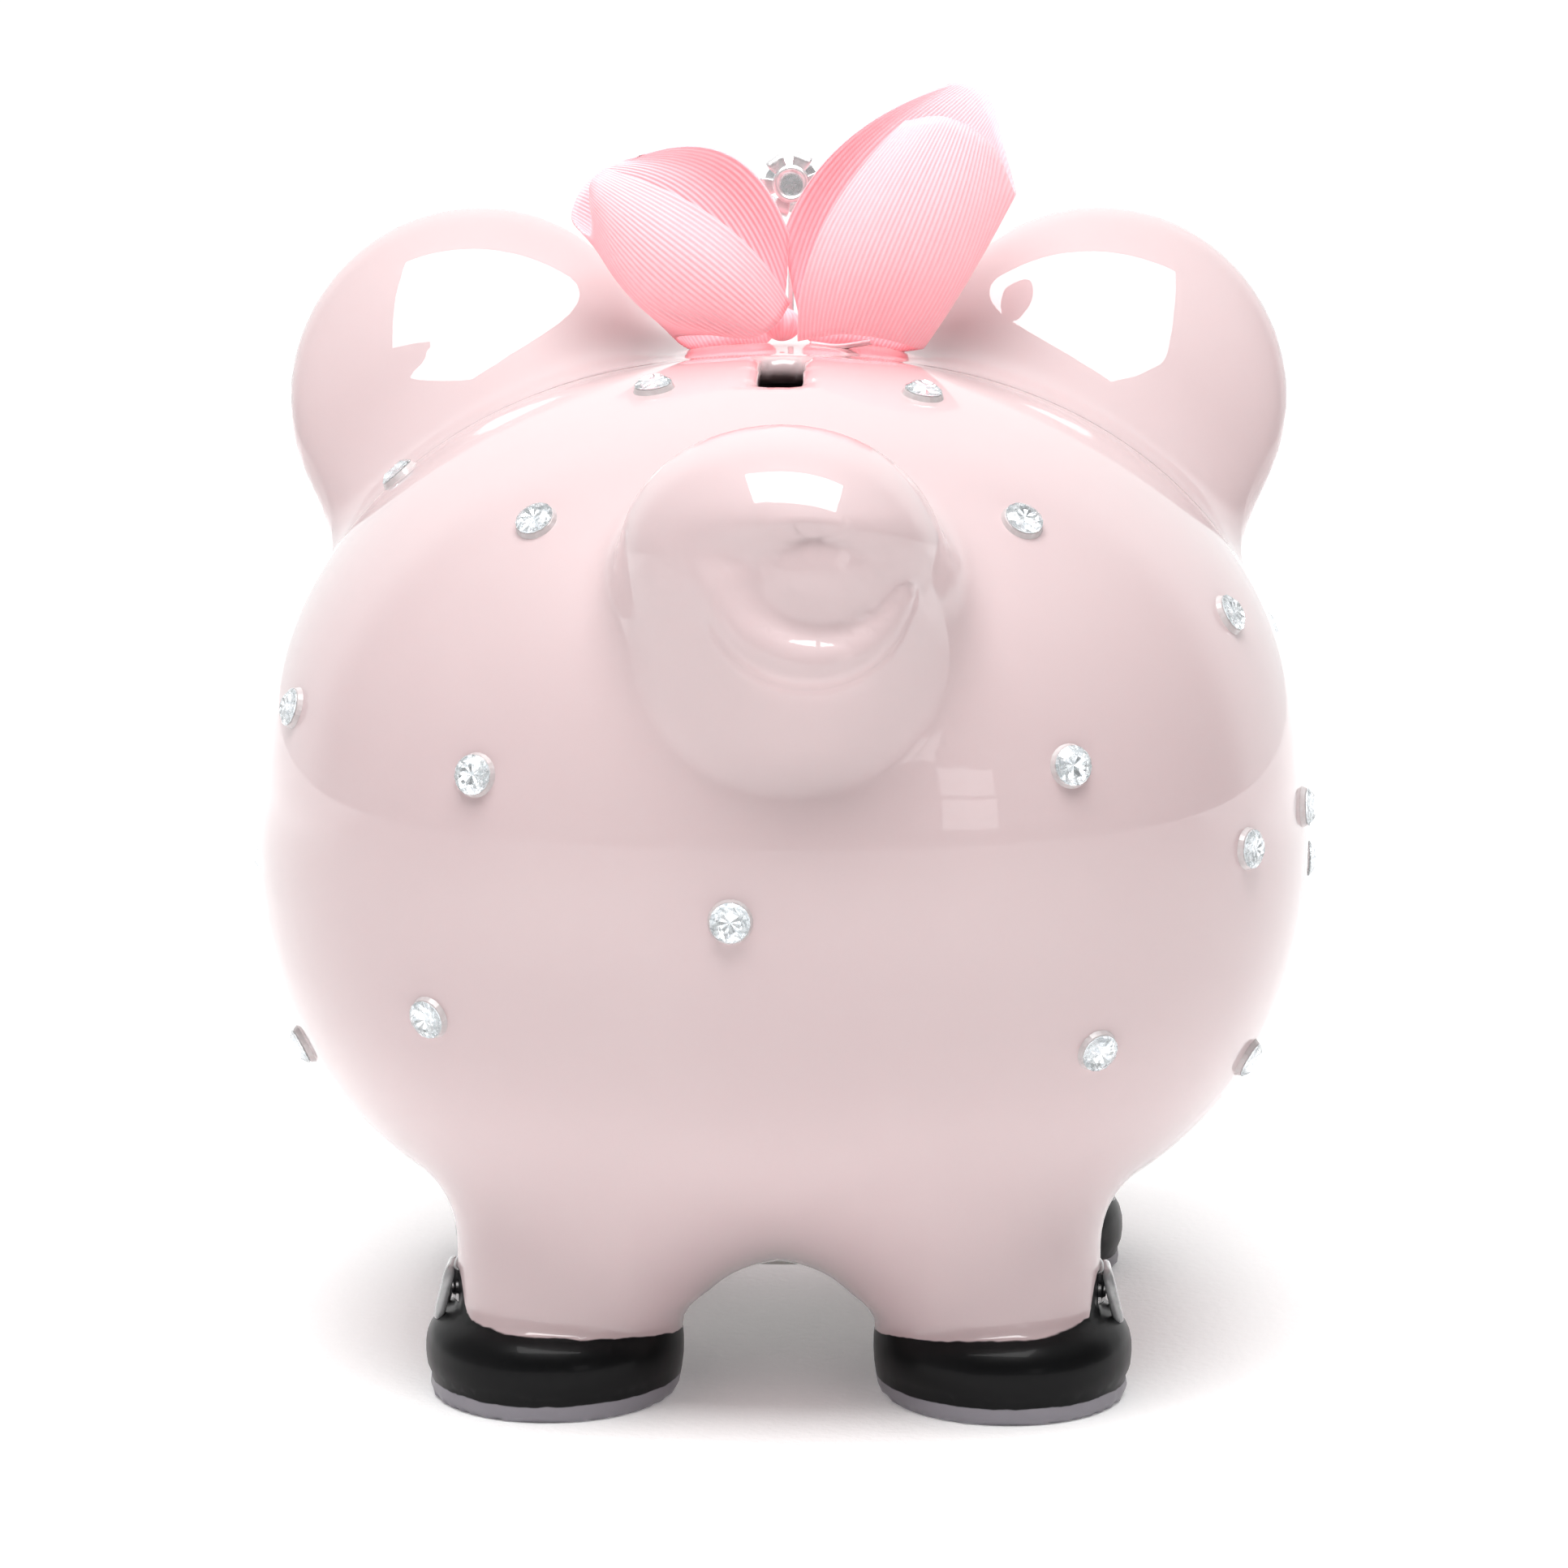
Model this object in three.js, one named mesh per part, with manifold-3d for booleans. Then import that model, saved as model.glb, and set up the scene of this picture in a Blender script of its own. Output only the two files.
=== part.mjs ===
// A hollow slip-cast ceramic pig money bank with a rubber belly stopper, glued
// rhinestones, a tied grosgrain bow and a six-prong brooch.
// Millimetres, +Z up. The pig looks along +Y and stands on Z = 0.
import * as THREE from 'three';
import { mergeVertices } from 'three/addons/utils/BufferGeometryUtils.js';
import Module from 'manifold-3d';

// ---------------------------------------------------------------- driving sizes
const FIT_GAP = 0.3; // between pieces that touch

// Belly: a rounded superellipsoid, measured from its centre.
const BODY_HALF_WIDTH = 88;
const BODY_HALF_LENGTH = 88;
const BODY_RISE = 80;
const BODY_DROP = 70;
const BODY_POWER = 2.3;
const BODY_CLEARANCE = 16; // lowest point of the belly above the floor
const WALL = 4.5;

// Ears: dished discs.
const EAR_RADIUS = 32.5;
const EAR_TALL = 35; // half height
const EAR_BACK = 11;
const EAR_LIP = 8;
const EAR_DISH = 9;
const EAR_SPREAD = 0.625 * BODY_HALF_WIDTH;
const EAR_FORWARD = 30;
const EAR_ABOVE_CENTRE = BODY_RISE - 7;
const EAR_TILT_DEG = 24; // top edge further forward

// Forehead: a low swelling of the crown between the ears.
const FOREHEAD_HALF = new THREE.Vector3(BODY_HALF_WIDTH - 18, 50, 40);
const FOREHEAD_FORWARD = 26;
const FOREHEAD_RISE = 1.8; // above the belly's top

// Legs and shoes.
const LEG_RADIUS = 18;
const LEG_FLARE = 10; // wider where it meets the belly
const LEG_TOP = 54;
const FLARE_START = 23;
const FLARE_MIDDLE = 33;
const REAR_LEG_SPREAD = 34;
const FRONT_LEG_SPREAD = 38;
const LEG_STANCE = 41; // front and rear legs ahead of and behind the centre
const LEG_CAVITY_RADIUS = 11;
const LEG_CAVITY_FLOOR = 8;
const SHOE_RADIUS = 20.8;
const SHOE_OFFSET = 2.4; // the shoe's centre lies outside the leg's
const SHOE_HEIGHT = 16;
const SHOE_LENGTHEN = 1.08;
const TOE_LENGTHEN = 1.25;
const SOLE_HEIGHT = 3;
const SOLE_INSET = 0.7;
const SOLE_EDGE = 0.6;
const WELT_HEIGHT = 1.6; // the shoe's lower edge, above the sole
const WELT_INSET = 0.5;
const SHOE_SHOULDER = 1.4; // the upper's inset at its shoulder
const SHOE_MOUTH = 3.6; // and at its mouth
const STRAP_RELIEF = 0.9;
const STRAP_LOW = 15;
const STRAP_HIGH = 21;
const STRAP_BACK = 3; // the strap's ends, behind the ankle's middle
const BUCKLE_SIZE = 9.5;
const BUCKLE_BAR = 1.8;
const BUCKLE_DEPTH = 3.2;
const BUCKLE_TILT_DEG = 14;
const BUCKLE_WINDOW_DEPTH = 0.5;

// Snout.
const SNOUT_HALF_WIDTH = 25;
const SNOUT_FLATTEN = 0.84; // height over width
const SNOUT_REACH = 15; // beyond the belly
const SNOUT_ABOVE_CENTRE = 4;
const NOSTRIL_SPREAD = 8.5;
const NOSTRIL_HALF = new THREE.Vector3(3.6, 4, 6);
const MUZZLE_RIM = 5; // widest ring of the muzzle, behind its front
const MUZZLE_WAIST = 9;
const MUZZLE_EDGE = 1.5;

// Tail: a coiled cone that leans up and back.
const TAIL_RADIUS = 24.5;
const TAIL_HEIGHT = 26;
const TAIL_ABOVE_CENTRE = 47;
const TAIL_ASIDE = 2.5;
const TAIL_ELEVATION_DEG = 22;
const TAIL_COIL_LEAD = 13;
const TAIL_COIL_DEPTH = 0.07;
const TAIL_ROOT = 9; // buried in the belly's wall

// Coin slot.
const SLOT_LENGTH = 27;
const SLOT_WIDTH = 7;
const SLOT_CORNER = 2;
const SLOT_BACK = 20.5; // slot's centre behind the belly's centre

// Belly hole and its stopper.
const HOLE_RADIUS = 18;
const SEAT_RADIUS = HOLE_RADIUS + 5;
const SEAT_DEPTH = 1.8;
const FLANGE_RADIUS = SEAT_RADIUS - 1;
const FLANGE_THICK = 2.4;
const PLUG_DEPTH = 10;
const PLUG_CLEARANCE = 0.35;
const PLUG_WALL = 3.2;
const PLUG_FLOOR = 2;
const GRIP_RECESS_RADIUS = 12;
const GRIP_RECESS_DEPTH = 1.2;
const GRIP_BAR_WIDTH = 4;
const GRIP_RECESS_SLOPE = 1;
const FLANGE_EDGE = 0.7;
const PLUG_RIB = 0.7;
const PLUG_LEAD_IN = 1.6; // taper of the plug's top edge

// Rhinestones.
const GEM_RADIUS = 3;
const GEM_TABLE_RADIUS = 1.8;
const GEM_HEIGHT = 2;
const GEM_SIDES = 8;

// Bow: ribbon loops stand on the crown, ahead of the slot.
const BOW_FORWARD = 12;
const RIBBON_THICK = 0.9;
const RIBBON_STEPS = 24;
const RIBBON_ROWS = 4;
const PINCH_HALF = new THREE.Vector3(3.2, 2.4, 3);
const PINCH_PLACE = new THREE.Vector3(-0.6, 0.5, 6);
const TIE_RADIUS = 0.6;

// Brooch.
const BROOCH_FORWARD = 27;
const BROOCH_ABOVE_CROWN = 29;
const HUB_RADIUS = 3.3;
const HUB_HOLE_RADIUS = 2;
const HUB_DEPTH = 2;
const HUB_TAPER = 0.6;
const BROOCH_ASIDE = 0.7;
const PRONG_COUNT = 6;
const FIRST_PRONG = 0.1; // of the step between prongs
const PRONG_WIDTH = 1.8;
const PRONG_THICK = 0.5;
const PRONG_GRIP = 5;
const STONE_RADIUS = 4.8;
const PRONG_REACH = STONE_RADIUS + 0.7;
const STONE_SIDES = 12;
const STONE_PAVILION = 2;
const STONE_GIRDLE = 0.5;
const STONE_CROWN = 1.5;
const STEM_RADIUS = 0.6;
const STEM_DROP = 8; // straight part below the setting
const STEM_FOOT_FORWARD = 11.5; // ahead of the bow's middle, in front of its far walls
const STEM_FOOT_HEIGHT = 4;

const GLAZE_PINK = 0xe9cfd0;
const RUBBER_GREY = 0xd9d6d2;
const CRYSTAL_WHITE = 0xdfe6ea;
const RIBBON_PINK = 0xffb3bb;
const FOLD_PINK = 0xf58f98;
const METAL_SILVER = 0xb9bcc0;

const BODY_Z = BODY_CLEARANCE + BODY_DROP;
const BODY_TOP = BODY_Z + BODY_RISE;
const SEAT_Z = BODY_CLEARANCE + SEAT_DEPTH;
const BROOCH_HEIGHT = BODY_TOP + BROOCH_ABOVE_CROWN;

// ---------------------------------------------------------------- solid helpers
const wasm = await Module();
wasm.setup();

/** Turns a closed three.js geometry into a solid, dropping triangles of no area. */
function solid(geometry) {
  const bare = geometry.clone();
  bare.deleteAttribute('normal');
  bare.deleteAttribute('uv');
  const merged = mergeVertices(bare, 1e-4);
  const index = merged.index.array;
  const triangles = [];
  for (let i = 0; i < index.length; i += 3) {
    const [a, b, c] = [index[i], index[i + 1], index[i + 2]];
    if (a !== b && b !== c && c !== a) triangles.push(a, b, c);
  }
  const vertProperties = new Float32Array(merged.attributes.position.array);
  const triVerts = new Uint32Array(triangles);
  return new wasm.Manifold(new wasm.Mesh({ numProp: 3, vertProperties, triVerts }));
}

/** Turns a solid back into a geometry. */
function geometryOf(manifold) {
  const mesh = manifold.getMesh();
  const geometry = new THREE.BufferGeometry();
  geometry.setAttribute('position', new THREE.BufferAttribute(mesh.vertProperties, 3));
  geometry.setIndex(new THREE.BufferAttribute(mesh.triVerts, 1));
  geometry.computeVertexNormals();
  return geometry;
}

/** Moves every vertex of a geometry by a rule that changes the vector in place. */
function reshape(geometry, rule) {
  const position = geometry.attributes.position;
  const point = new THREE.Vector3();
  for (let i = 0; i < position.count; i += 1) {
    point.fromBufferAttribute(position, i);
    rule(point);
    position.setXYZ(i, point.x, point.y, point.z);
  }
  geometry.computeVertexNormals();
  return geometry;
}

/** A unit sphere whose poles lie on Z. */
function uprightSphere(around, down) {
  return new THREE.SphereGeometry(1, around, down).rotateX(Math.PI / 2);
}

/** An ellipsoid solid at a place. */
function ellipsoid(half, place, around, down) {
  const sphere = uprightSphere(around, down).scale(half.x, half.y, half.z);
  return solid(sphere.translate(place.x, place.y, place.z));
}

/** A shape turned about Z from [radius, height] points that start and end on the axis. */
function turned(profile, sides) {
  const points = profile.map(([radius, height]) => new THREE.Vector2(radius, height));
  return new THREE.LatheGeometry(points, sides).rotateX(Math.PI / 2);
}

/** Puts a solid's vertices through a rotation and a move. */
function placed(geometry, rotation, place) {
  const turn = new THREE.Matrix4().makeRotationFromEuler(rotation);
  return geometry.applyMatrix4(turn).translate(place.x, place.y, place.z);
}

function piece(name, geometry, color, roughness, metalness = 0) {
  const material = new THREE.MeshStandardMaterial({ color, roughness, metalness });
  const mesh = new THREE.Mesh(geometry, material);
  mesh.name = name;
  return mesh;
}

// ---------------------------------------------------------------- belly shape
/** Distance from the belly's centre to its surface along a unit direction. */
function bellyReach(direction, inset = 0) {
  const drop = direction.z > 0 ? BODY_RISE : BODY_DROP;
  const sum = (Math.abs(direction.x) / (BODY_HALF_WIDTH - inset)) ** BODY_POWER
    + (Math.abs(direction.y) / (BODY_HALF_LENGTH - inset)) ** BODY_POWER
    + (Math.abs(direction.z) / (drop - inset)) ** BODY_POWER;
  return sum ** (-1 / BODY_POWER);
}

/** Outward normal of the belly at a point measured from its centre. */
function bellyNormal(point) {
  const drop = point.z > 0 ? BODY_RISE : BODY_DROP;
  const slope = (value, half) => Math.sign(value) * (Math.abs(value) / half) ** (BODY_POWER - 1) / half;
  return new THREE.Vector3(
    slope(point.x, BODY_HALF_WIDTH),
    slope(point.y, BODY_HALF_LENGTH),
    slope(point.z, drop),
  ).normalize();
}

function belly(inset, around, down) {
  const shape = reshape(uprightSphere(around, down), (p) => {
    p.normalize();
    p.multiplyScalar(bellyReach(p, inset));
  });
  return solid(shape.translate(0, 0, BODY_Z));
}

// ---------------------------------------------------------------- ceramic parts
/** A disc with a rounded back and a dished front that faces +Y. */
function ear(side) {
  const shape = reshape(new THREE.SphereGeometry(1, 20, 12), (p) => {
    const depth = Math.abs(p.y);
    const front = EAR_LIP * depth - EAR_DISH * depth ** 3;
    p.set(p.x * EAR_RADIUS, p.y > 0 ? front : -EAR_BACK * depth, p.z * EAR_TALL);
  });
  const turn = new THREE.Euler(-THREE.MathUtils.degToRad(EAR_TILT_DEG), 0, 0);
  const place = new THREE.Vector3(side * EAR_SPREAD, EAR_FORWARD, BODY_Z + EAR_ABOVE_CENTRE);
  return solid(placed(shape, turn, place));
}

function legPlace(side, end) {
  const spread = end > 0 ? FRONT_LEG_SPREAD : REAR_LEG_SPREAD;
  return new THREE.Vector3(side * spread, end * LEG_STANCE, 0);
}

/** A column that flares where it runs into the belly. */
function leg(side, end) {
  const profile = [
    [0, SOLE_HEIGHT],
    [LEG_RADIUS, SOLE_HEIGHT],
    [LEG_RADIUS, FLARE_START],
    [LEG_RADIUS + LEG_FLARE * 0.2, FLARE_MIDDLE],
    [LEG_RADIUS + LEG_FLARE, LEG_TOP],
    [0, LEG_TOP],
  ];
  const place = legPlace(side, end);
  return solid(turned(profile, 18).translate(place.x, place.y, place.z));
}

/** A round-heeled shoe with a longer toe and an inset sole. */
function shoe(side, end) {
  const profile = [
    [0, 0],
    [SHOE_RADIUS - SOLE_INSET - SOLE_EDGE, 0],
    [SHOE_RADIUS - SOLE_INSET, SOLE_HEIGHT],
    [SHOE_RADIUS - WELT_INSET, SOLE_HEIGHT + WELT_HEIGHT],
    [SHOE_RADIUS, SHOE_HEIGHT * 0.55],
    [SHOE_RADIUS - SHOE_SHOULDER, SHOE_HEIGHT * 0.82],
    [SHOE_RADIUS - SHOE_MOUTH, SHOE_HEIGHT],
    [0, SHOE_HEIGHT],
  ];
  const shape = reshape(turned(profile, 22), (p) => {
    p.y *= p.y > 0 ? TOE_LENGTHEN : SHOE_LENGTHEN;
  });
  const place = legPlace(side, end);
  return solid(shape.translate(place.x + side * SHOE_OFFSET, place.y, 0));
}

/** A raised band round the front half of the ankle. */
function strap(side, end) {
  const radius = LEG_RADIUS + STRAP_RELIEF;
  const profile = [[0, STRAP_LOW], [radius, STRAP_LOW], [radius, STRAP_HIGH], [0, STRAP_HIGH]];
  const place = legPlace(side, end);
  const band = solid(turned(profile, 18).translate(place.x, place.y, 0));
  const frontHalf = new THREE.BoxGeometry(4 * radius, 2 * radius, STRAP_HIGH * 2);
  frontHalf.translate(place.x, place.y + radius - STRAP_BACK, STRAP_HIGH);
  return band.intersect(solid(frontHalf));
}

/** A raised square buckle with a centre bar, on the outer side of the shoe. */
function buckle(side, end) {
  const centreBar = BUCKLE_BAR / 2;
  const opening = (BUCKLE_SIZE - 2 * BUCKLE_BAR - centreBar) / 2;
  const openingWidth = BUCKLE_SIZE - 2 * BUCKLE_BAR;
  let ring = solid(new THREE.BoxGeometry(BUCKLE_DEPTH, BUCKLE_SIZE, BUCKLE_SIZE));
  for (const half of [-1, 1]) {
    const window = new THREE.BoxGeometry(2 * BUCKLE_WINDOW_DEPTH, openingWidth, opening);
    const outerFace = side * (BUCKLE_DEPTH / 2);
    window.translate(outerFace, 0, half * (opening + centreBar) / 2);
    ring = ring.subtract(solid(window));
  }
  const place = legPlace(side, end);
  const tilt = new THREE.Euler(0, -side * THREE.MathUtils.degToRad(BUCKLE_TILT_DEG), 0);
  const outside = side * (LEG_RADIUS + SHOE_OFFSET - BUCKLE_DEPTH / 4);
  const at = new THREE.Vector3(place.x + outside, place.y, SHOE_HEIGHT);
  return solid(placed(geometryOf(ring), tilt, at));
}

/** A flat-ended oval muzzle with two nostril hollows. */
function snout() {
  const front = BODY_HALF_LENGTH + SNOUT_REACH;
  const root = BODY_HALF_LENGTH - SNOUT_REACH;
  const profile = [
    [0, root],
    [SNOUT_HALF_WIDTH * 1.2, root],
    [SNOUT_HALF_WIDTH, BODY_HALF_LENGTH],
    [SNOUT_HALF_WIDTH * 0.95, front - MUZZLE_WAIST],
    [SNOUT_HALF_WIDTH, front - MUZZLE_RIM],
    [SNOUT_HALF_WIDTH * 0.95, front - MUZZLE_EDGE],
    [SNOUT_HALF_WIDTH * 0.82, front],
    [0, front],
  ];
  const shape = turned(profile, 24).scale(1, SNOUT_FLATTEN, 1).rotateX(-Math.PI / 2);
  const height = BODY_Z + SNOUT_ABOVE_CENTRE;
  let muzzle = solid(shape.translate(0, 0, height));
  for (const side of [-1, 1]) {
    const hollow = new THREE.Vector3(side * NOSTRIL_SPREAD, front, height);
    muzzle = muzzle.subtract(ellipsoid(NOSTRIL_HALF, hollow, 12, 8));
  }
  return muzzle;
}

/** A cone of coils: its radius swells and narrows along a spiral. */
function tail() {
  const profile = [
    [0, -TAIL_ROOT],
    [TAIL_RADIUS * 1.05, -TAIL_ROOT],
    [TAIL_RADIUS, 0],
    [TAIL_RADIUS * 0.93, TAIL_HEIGHT * 0.18],
    [TAIL_RADIUS * 0.82, TAIL_HEIGHT * 0.32],
    [TAIL_RADIUS * 0.72, TAIL_HEIGHT * 0.46],
    [TAIL_RADIUS * 0.66, TAIL_HEIGHT * 0.6],
    [TAIL_RADIUS * 0.59, TAIL_HEIGHT * 0.74],
    [TAIL_RADIUS * 0.47, TAIL_HEIGHT * 0.87],
    [TAIL_RADIUS * 0.25, TAIL_HEIGHT * 0.97],
    [0, TAIL_HEIGHT],
  ];
  const shape = reshape(turned(profile, 24), (p) => {
    const phase = Math.atan2(p.y, p.x) + 2 * Math.PI * p.z / TAIL_COIL_LEAD;
    const raised = p.z > 0 ? 1 : 0;
    const swell = 1 + raised * TAIL_COIL_DEPTH * Math.sin(phase);
    p.set(p.x * swell, p.y * swell, p.z);
  });
  const elevation = THREE.MathUtils.degToRad(TAIL_ELEVATION_DEG);
  const lean = new THREE.Euler(Math.PI / 2 - elevation, 0, 0);
  const share = (TAIL_ABOVE_CENTRE / BODY_RISE) ** BODY_POWER;
  const back = -BODY_HALF_LENGTH * (1 - share) ** (1 / BODY_POWER);
  return solid(placed(shape, lean, new THREE.Vector3(TAIL_ASIDE, back, BODY_Z + TAIL_ABOVE_CENTRE)));
}

/** The space inside: the belly less its wall, reaching down the legs and into the snout. */
function cavity() {
  let space = belly(WALL, 28, 16);
  const legHalf = new THREE.Vector3(LEG_CAVITY_RADIUS, LEG_CAVITY_RADIUS, LEG_TOP / 2);
  for (const side of [-1, 1]) {
    for (const end of [-1, 1]) {
      const place = legPlace(side, end).setZ(LEG_CAVITY_FLOOR + LEG_TOP / 2);
      space = space.add(ellipsoid(legHalf, place, 10, 8));
    }
  }
  const snoutWidth = SNOUT_HALF_WIDTH - 2 * WALL;
  const snoutHalf = new THREE.Vector3(snoutWidth, 2 * SNOUT_REACH, snoutWidth - WALL / 2);
  const snoutFloor = BODY_HALF_LENGTH + SNOUT_REACH - 2 * WALL - snoutHalf.y;
  const snoutPlace = new THREE.Vector3(0, snoutFloor, BODY_Z + SNOUT_ABOVE_CENTRE);
  return space.add(ellipsoid(snoutHalf, snoutPlace, 12, 8));
}

/** A round-cornered upright prism that cuts the coin slot through the crown. */
function slotCutter() {
  const halfWidth = SLOT_WIDTH / 2 - SLOT_CORNER;
  const halfLength = SLOT_LENGTH / 2 - SLOT_CORNER;
  const outline = new THREE.Shape();
  outline.absarc(halfWidth, halfLength, SLOT_CORNER, 0, Math.PI / 2);
  outline.absarc(-halfWidth, halfLength, SLOT_CORNER, Math.PI / 2, Math.PI);
  outline.absarc(-halfWidth, -halfLength, SLOT_CORNER, Math.PI, 1.5 * Math.PI);
  outline.absarc(halfWidth, -halfLength, SLOT_CORNER, 1.5 * Math.PI, 2 * Math.PI);
  outline.closePath();
  const depth = 6 * WALL;
  const prism = new THREE.ExtrudeGeometry(outline, { depth, bevelEnabled: false, curveSegments: 3 });
  return solid(prism.translate(0, -SLOT_BACK, BODY_TOP - depth / 2));
}

/** An upright cylinder solid from a height down past the floor. */
function borer(radius, top, sides) {
  const height = top + BODY_CLEARANCE;
  const drill = new THREE.CylinderGeometry(radius, radius, height, sides).rotateX(Math.PI / 2);
  return solid(drill.translate(0, 0, top - height / 2));
}

function forehead() {
  const place = new THREE.Vector3(0, FOREHEAD_FORWARD, BODY_TOP + FOREHEAD_RISE - FOREHEAD_HALF.z);
  return ellipsoid(FOREHEAD_HALF, place, 40, 20);
}

function ceramicBody() {
  let shell = belly(0, 40, 24).add(forehead()).add(snout()).add(tail());
  for (const side of [-1, 1]) {
    shell = shell.add(ear(side));
    for (const end of [-1, 1]) {
      shell = shell.add(leg(side, end)).add(shoe(side, end));
      shell = shell.add(strap(side, end)).add(buckle(side, end));
    }
  }
  shell = shell.subtract(cavity()).subtract(slotCutter());
  shell = shell.subtract(borer(SEAT_RADIUS, SEAT_Z, 32));
  shell = shell.subtract(borer(HOLE_RADIUS, SEAT_Z + 4 * WALL, 32));
  return piece('ceramic_body', geometryOf(shell), GLAZE_PINK, 0.08);
}

// ---------------------------------------------------------------- stopper
/** A flanged rubber cup that fills the belly hole, with a grip bar across its underside. */
function stopper() {
  const flangeTop = SEAT_Z - FIT_GAP;
  const flangeBase = flangeTop - FLANGE_THICK;
  const plugTop = flangeTop + PLUG_DEPTH;
  const plugRadius = HOLE_RADIUS - PLUG_CLEARANCE;
  const waist = plugRadius - PLUG_RIB;
  const cupRadius = plugRadius - PLUG_WALL;
  const profile = [
    [0, flangeBase + GRIP_RECESS_DEPTH],
    [GRIP_RECESS_RADIUS - GRIP_RECESS_SLOPE, flangeBase + GRIP_RECESS_DEPTH],
    [GRIP_RECESS_RADIUS, flangeBase],
    [FLANGE_RADIUS - FLANGE_EDGE, flangeBase],
    [FLANGE_RADIUS, flangeBase + FLANGE_EDGE],
    [FLANGE_RADIUS, flangeTop],
    [plugRadius, flangeTop],
    [waist, flangeTop + PLUG_DEPTH * 0.3],
    [plugRadius, flangeTop + PLUG_DEPTH * 0.45],
    [waist, flangeTop + PLUG_DEPTH * 0.6],
    [plugRadius, flangeTop + PLUG_DEPTH * 0.75],
    [plugRadius - PLUG_LEAD_IN, plugTop],
    [cupRadius, plugTop],
    [cupRadius, flangeTop + PLUG_FLOOR],
    [0, flangeTop + PLUG_FLOOR],
  ];
  const cup = solid(turned(profile, 24));
  const bar = new THREE.BoxGeometry(2 * GRIP_RECESS_RADIUS, GRIP_BAR_WIDTH, 2 * GRIP_RECESS_DEPTH);
  bar.translate(0, 0, flangeBase + GRIP_RECESS_DEPTH);
  return piece('stopper', geometryOf(cup.add(solid(bar))), RUBBER_GREY, 0.7);
}

// ---------------------------------------------------------------- rhinestones
/** Longitude from the rear and latitude of each stone, in degrees: rear half, then the rest. */
function gemAngles() {
  const rear = [
    [-32, 63], [34, 61], [-79, 43], [-31, 38], [32, 38], [59, 26], [-60, 16], [-30, 12],
    [30, 13], [71, 5], [53, 3], [-4, -1], [-36, -12], [34, -15], [-69, -21], [64, -21],
  ];
  const rest = [];
  for (const [latitude, longitudes] of [[22, [98, 122]], [-3, [88, 112, 138]], [-22, [98, 124, 150]]]) {
    for (const longitude of longitudes) rest.push([-longitude, latitude], [longitude, latitude]);
  }
  return [...rear, ...rest];
}

function rhinestones() {
  return gemAngles().map(([longitude, latitude], index) => {
    const lon = THREE.MathUtils.degToRad(longitude);
    const lat = THREE.MathUtils.degToRad(latitude);
    const flat = Math.cos(lat);
    const out = new THREE.Vector3(Math.sin(lon) * flat, -Math.cos(lon) * flat, Math.sin(lat));
    const seat = out.multiplyScalar(bellyReach(out));
    const normal = bellyNormal(seat);
    const cut = new THREE.CylinderGeometry(GEM_TABLE_RADIUS, GEM_RADIUS, GEM_HEIGHT, GEM_SIDES);
    const stone = piece(`rhinestone_${String(index + 1).padStart(2, '0')}`, cut, CRYSTAL_WHITE, 0.05, 0.3);
    stone.quaternion.setFromUnitVectors(new THREE.Vector3(0, 1, 0), normal);
    stone.position.copy(seat).addScaledVector(normal, FIT_GAP + GEM_HEIGHT / 2);
    stone.position.z += BODY_Z;
    return stone;
  });
}

// ---------------------------------------------------------------- bow
// Each loop is a list of stations along the ribbon, from its near wall round the outer turn to
// its far wall. A station holds the [x, y, z] of the ribbon's low edge, middle and high edge,
// measured from the bow's foot on the crown.
const RIGHT_LOOP = [
  [[2.2, -4, 3.2], [6.3, -8, 21.8], [20.2, -5, 39.9]],
  [[9.6, -7, 4.4], [16, -10.5, 22], [26, -7, 40.6]],
  [[17, -6.5, 3.6], [25, -10, 21], [31.2, -6.5, 38.8]],
  [[21.8, -4.5, 2.6], [30.6, -6.5, 17.2], [35.4, -4.5, 35]],
  [[23.2, -1, 2.6], [31.8, -1, 15.6], [39, -0.5, 28]],
  [[18, 5, 2.8], [28.5, 6, 18.5], [36.6, 3.5, 37]],
  [[11, 8, 3.2], [22, 8.5, 23], [35, 5.5, 42.5]],
  [[4.4, 9, 5.4], [15.5, 9.7, 28], [32.8, 7, 46.4]],
  [[1.2, 8.6, 12], [11.6, 9.7, 33], [30, 7.8, 47]],
  [[0.9, 7, 21.2], [10, 8, 36.6], [27.5, 8.2, 46.4]],
];
const LEFT_LOOP = [
  [[0.8, -3.5, 9.6], [-11, -7.5, 23.3], [-30.1, -6, 32]],
  [[-1.5, -6, 6], [-14.5, -10.5, 17.8], [-32.4, -7, 30]],
  [[-5.5, -7, 3.8], [-19, -10.5, 13.4], [-32.8, -7, 27]],
  [[-13, -6, 4.7], [-24, -8, 10], [-32.4, -5, 23]],
  [[-18.5, -1, 4], [-27.4, -2, 12], [-33.8, 0, 21]],
  [[-15.5, 4.5, 3.4], [-26, 4, 15.5], [-36.6, 3, 24]],
  [[-9.4, 7.5, 3.9], [-21.5, 8.5, 20], [-35, 5, 29]],
  [[-3.4, 8.8, 6.4], [-15, 10, 25.5], [-31.7, 6.5, 32.4]],
  [[-1, 8.2, 14], [-12.5, 9.8, 30.5], [-29.6, 7.5, 33.4]],
  [[-0.9, 7, 21.2], [-10.5, 8, 35], [-27.4, 8, 33.8]],
];

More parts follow.
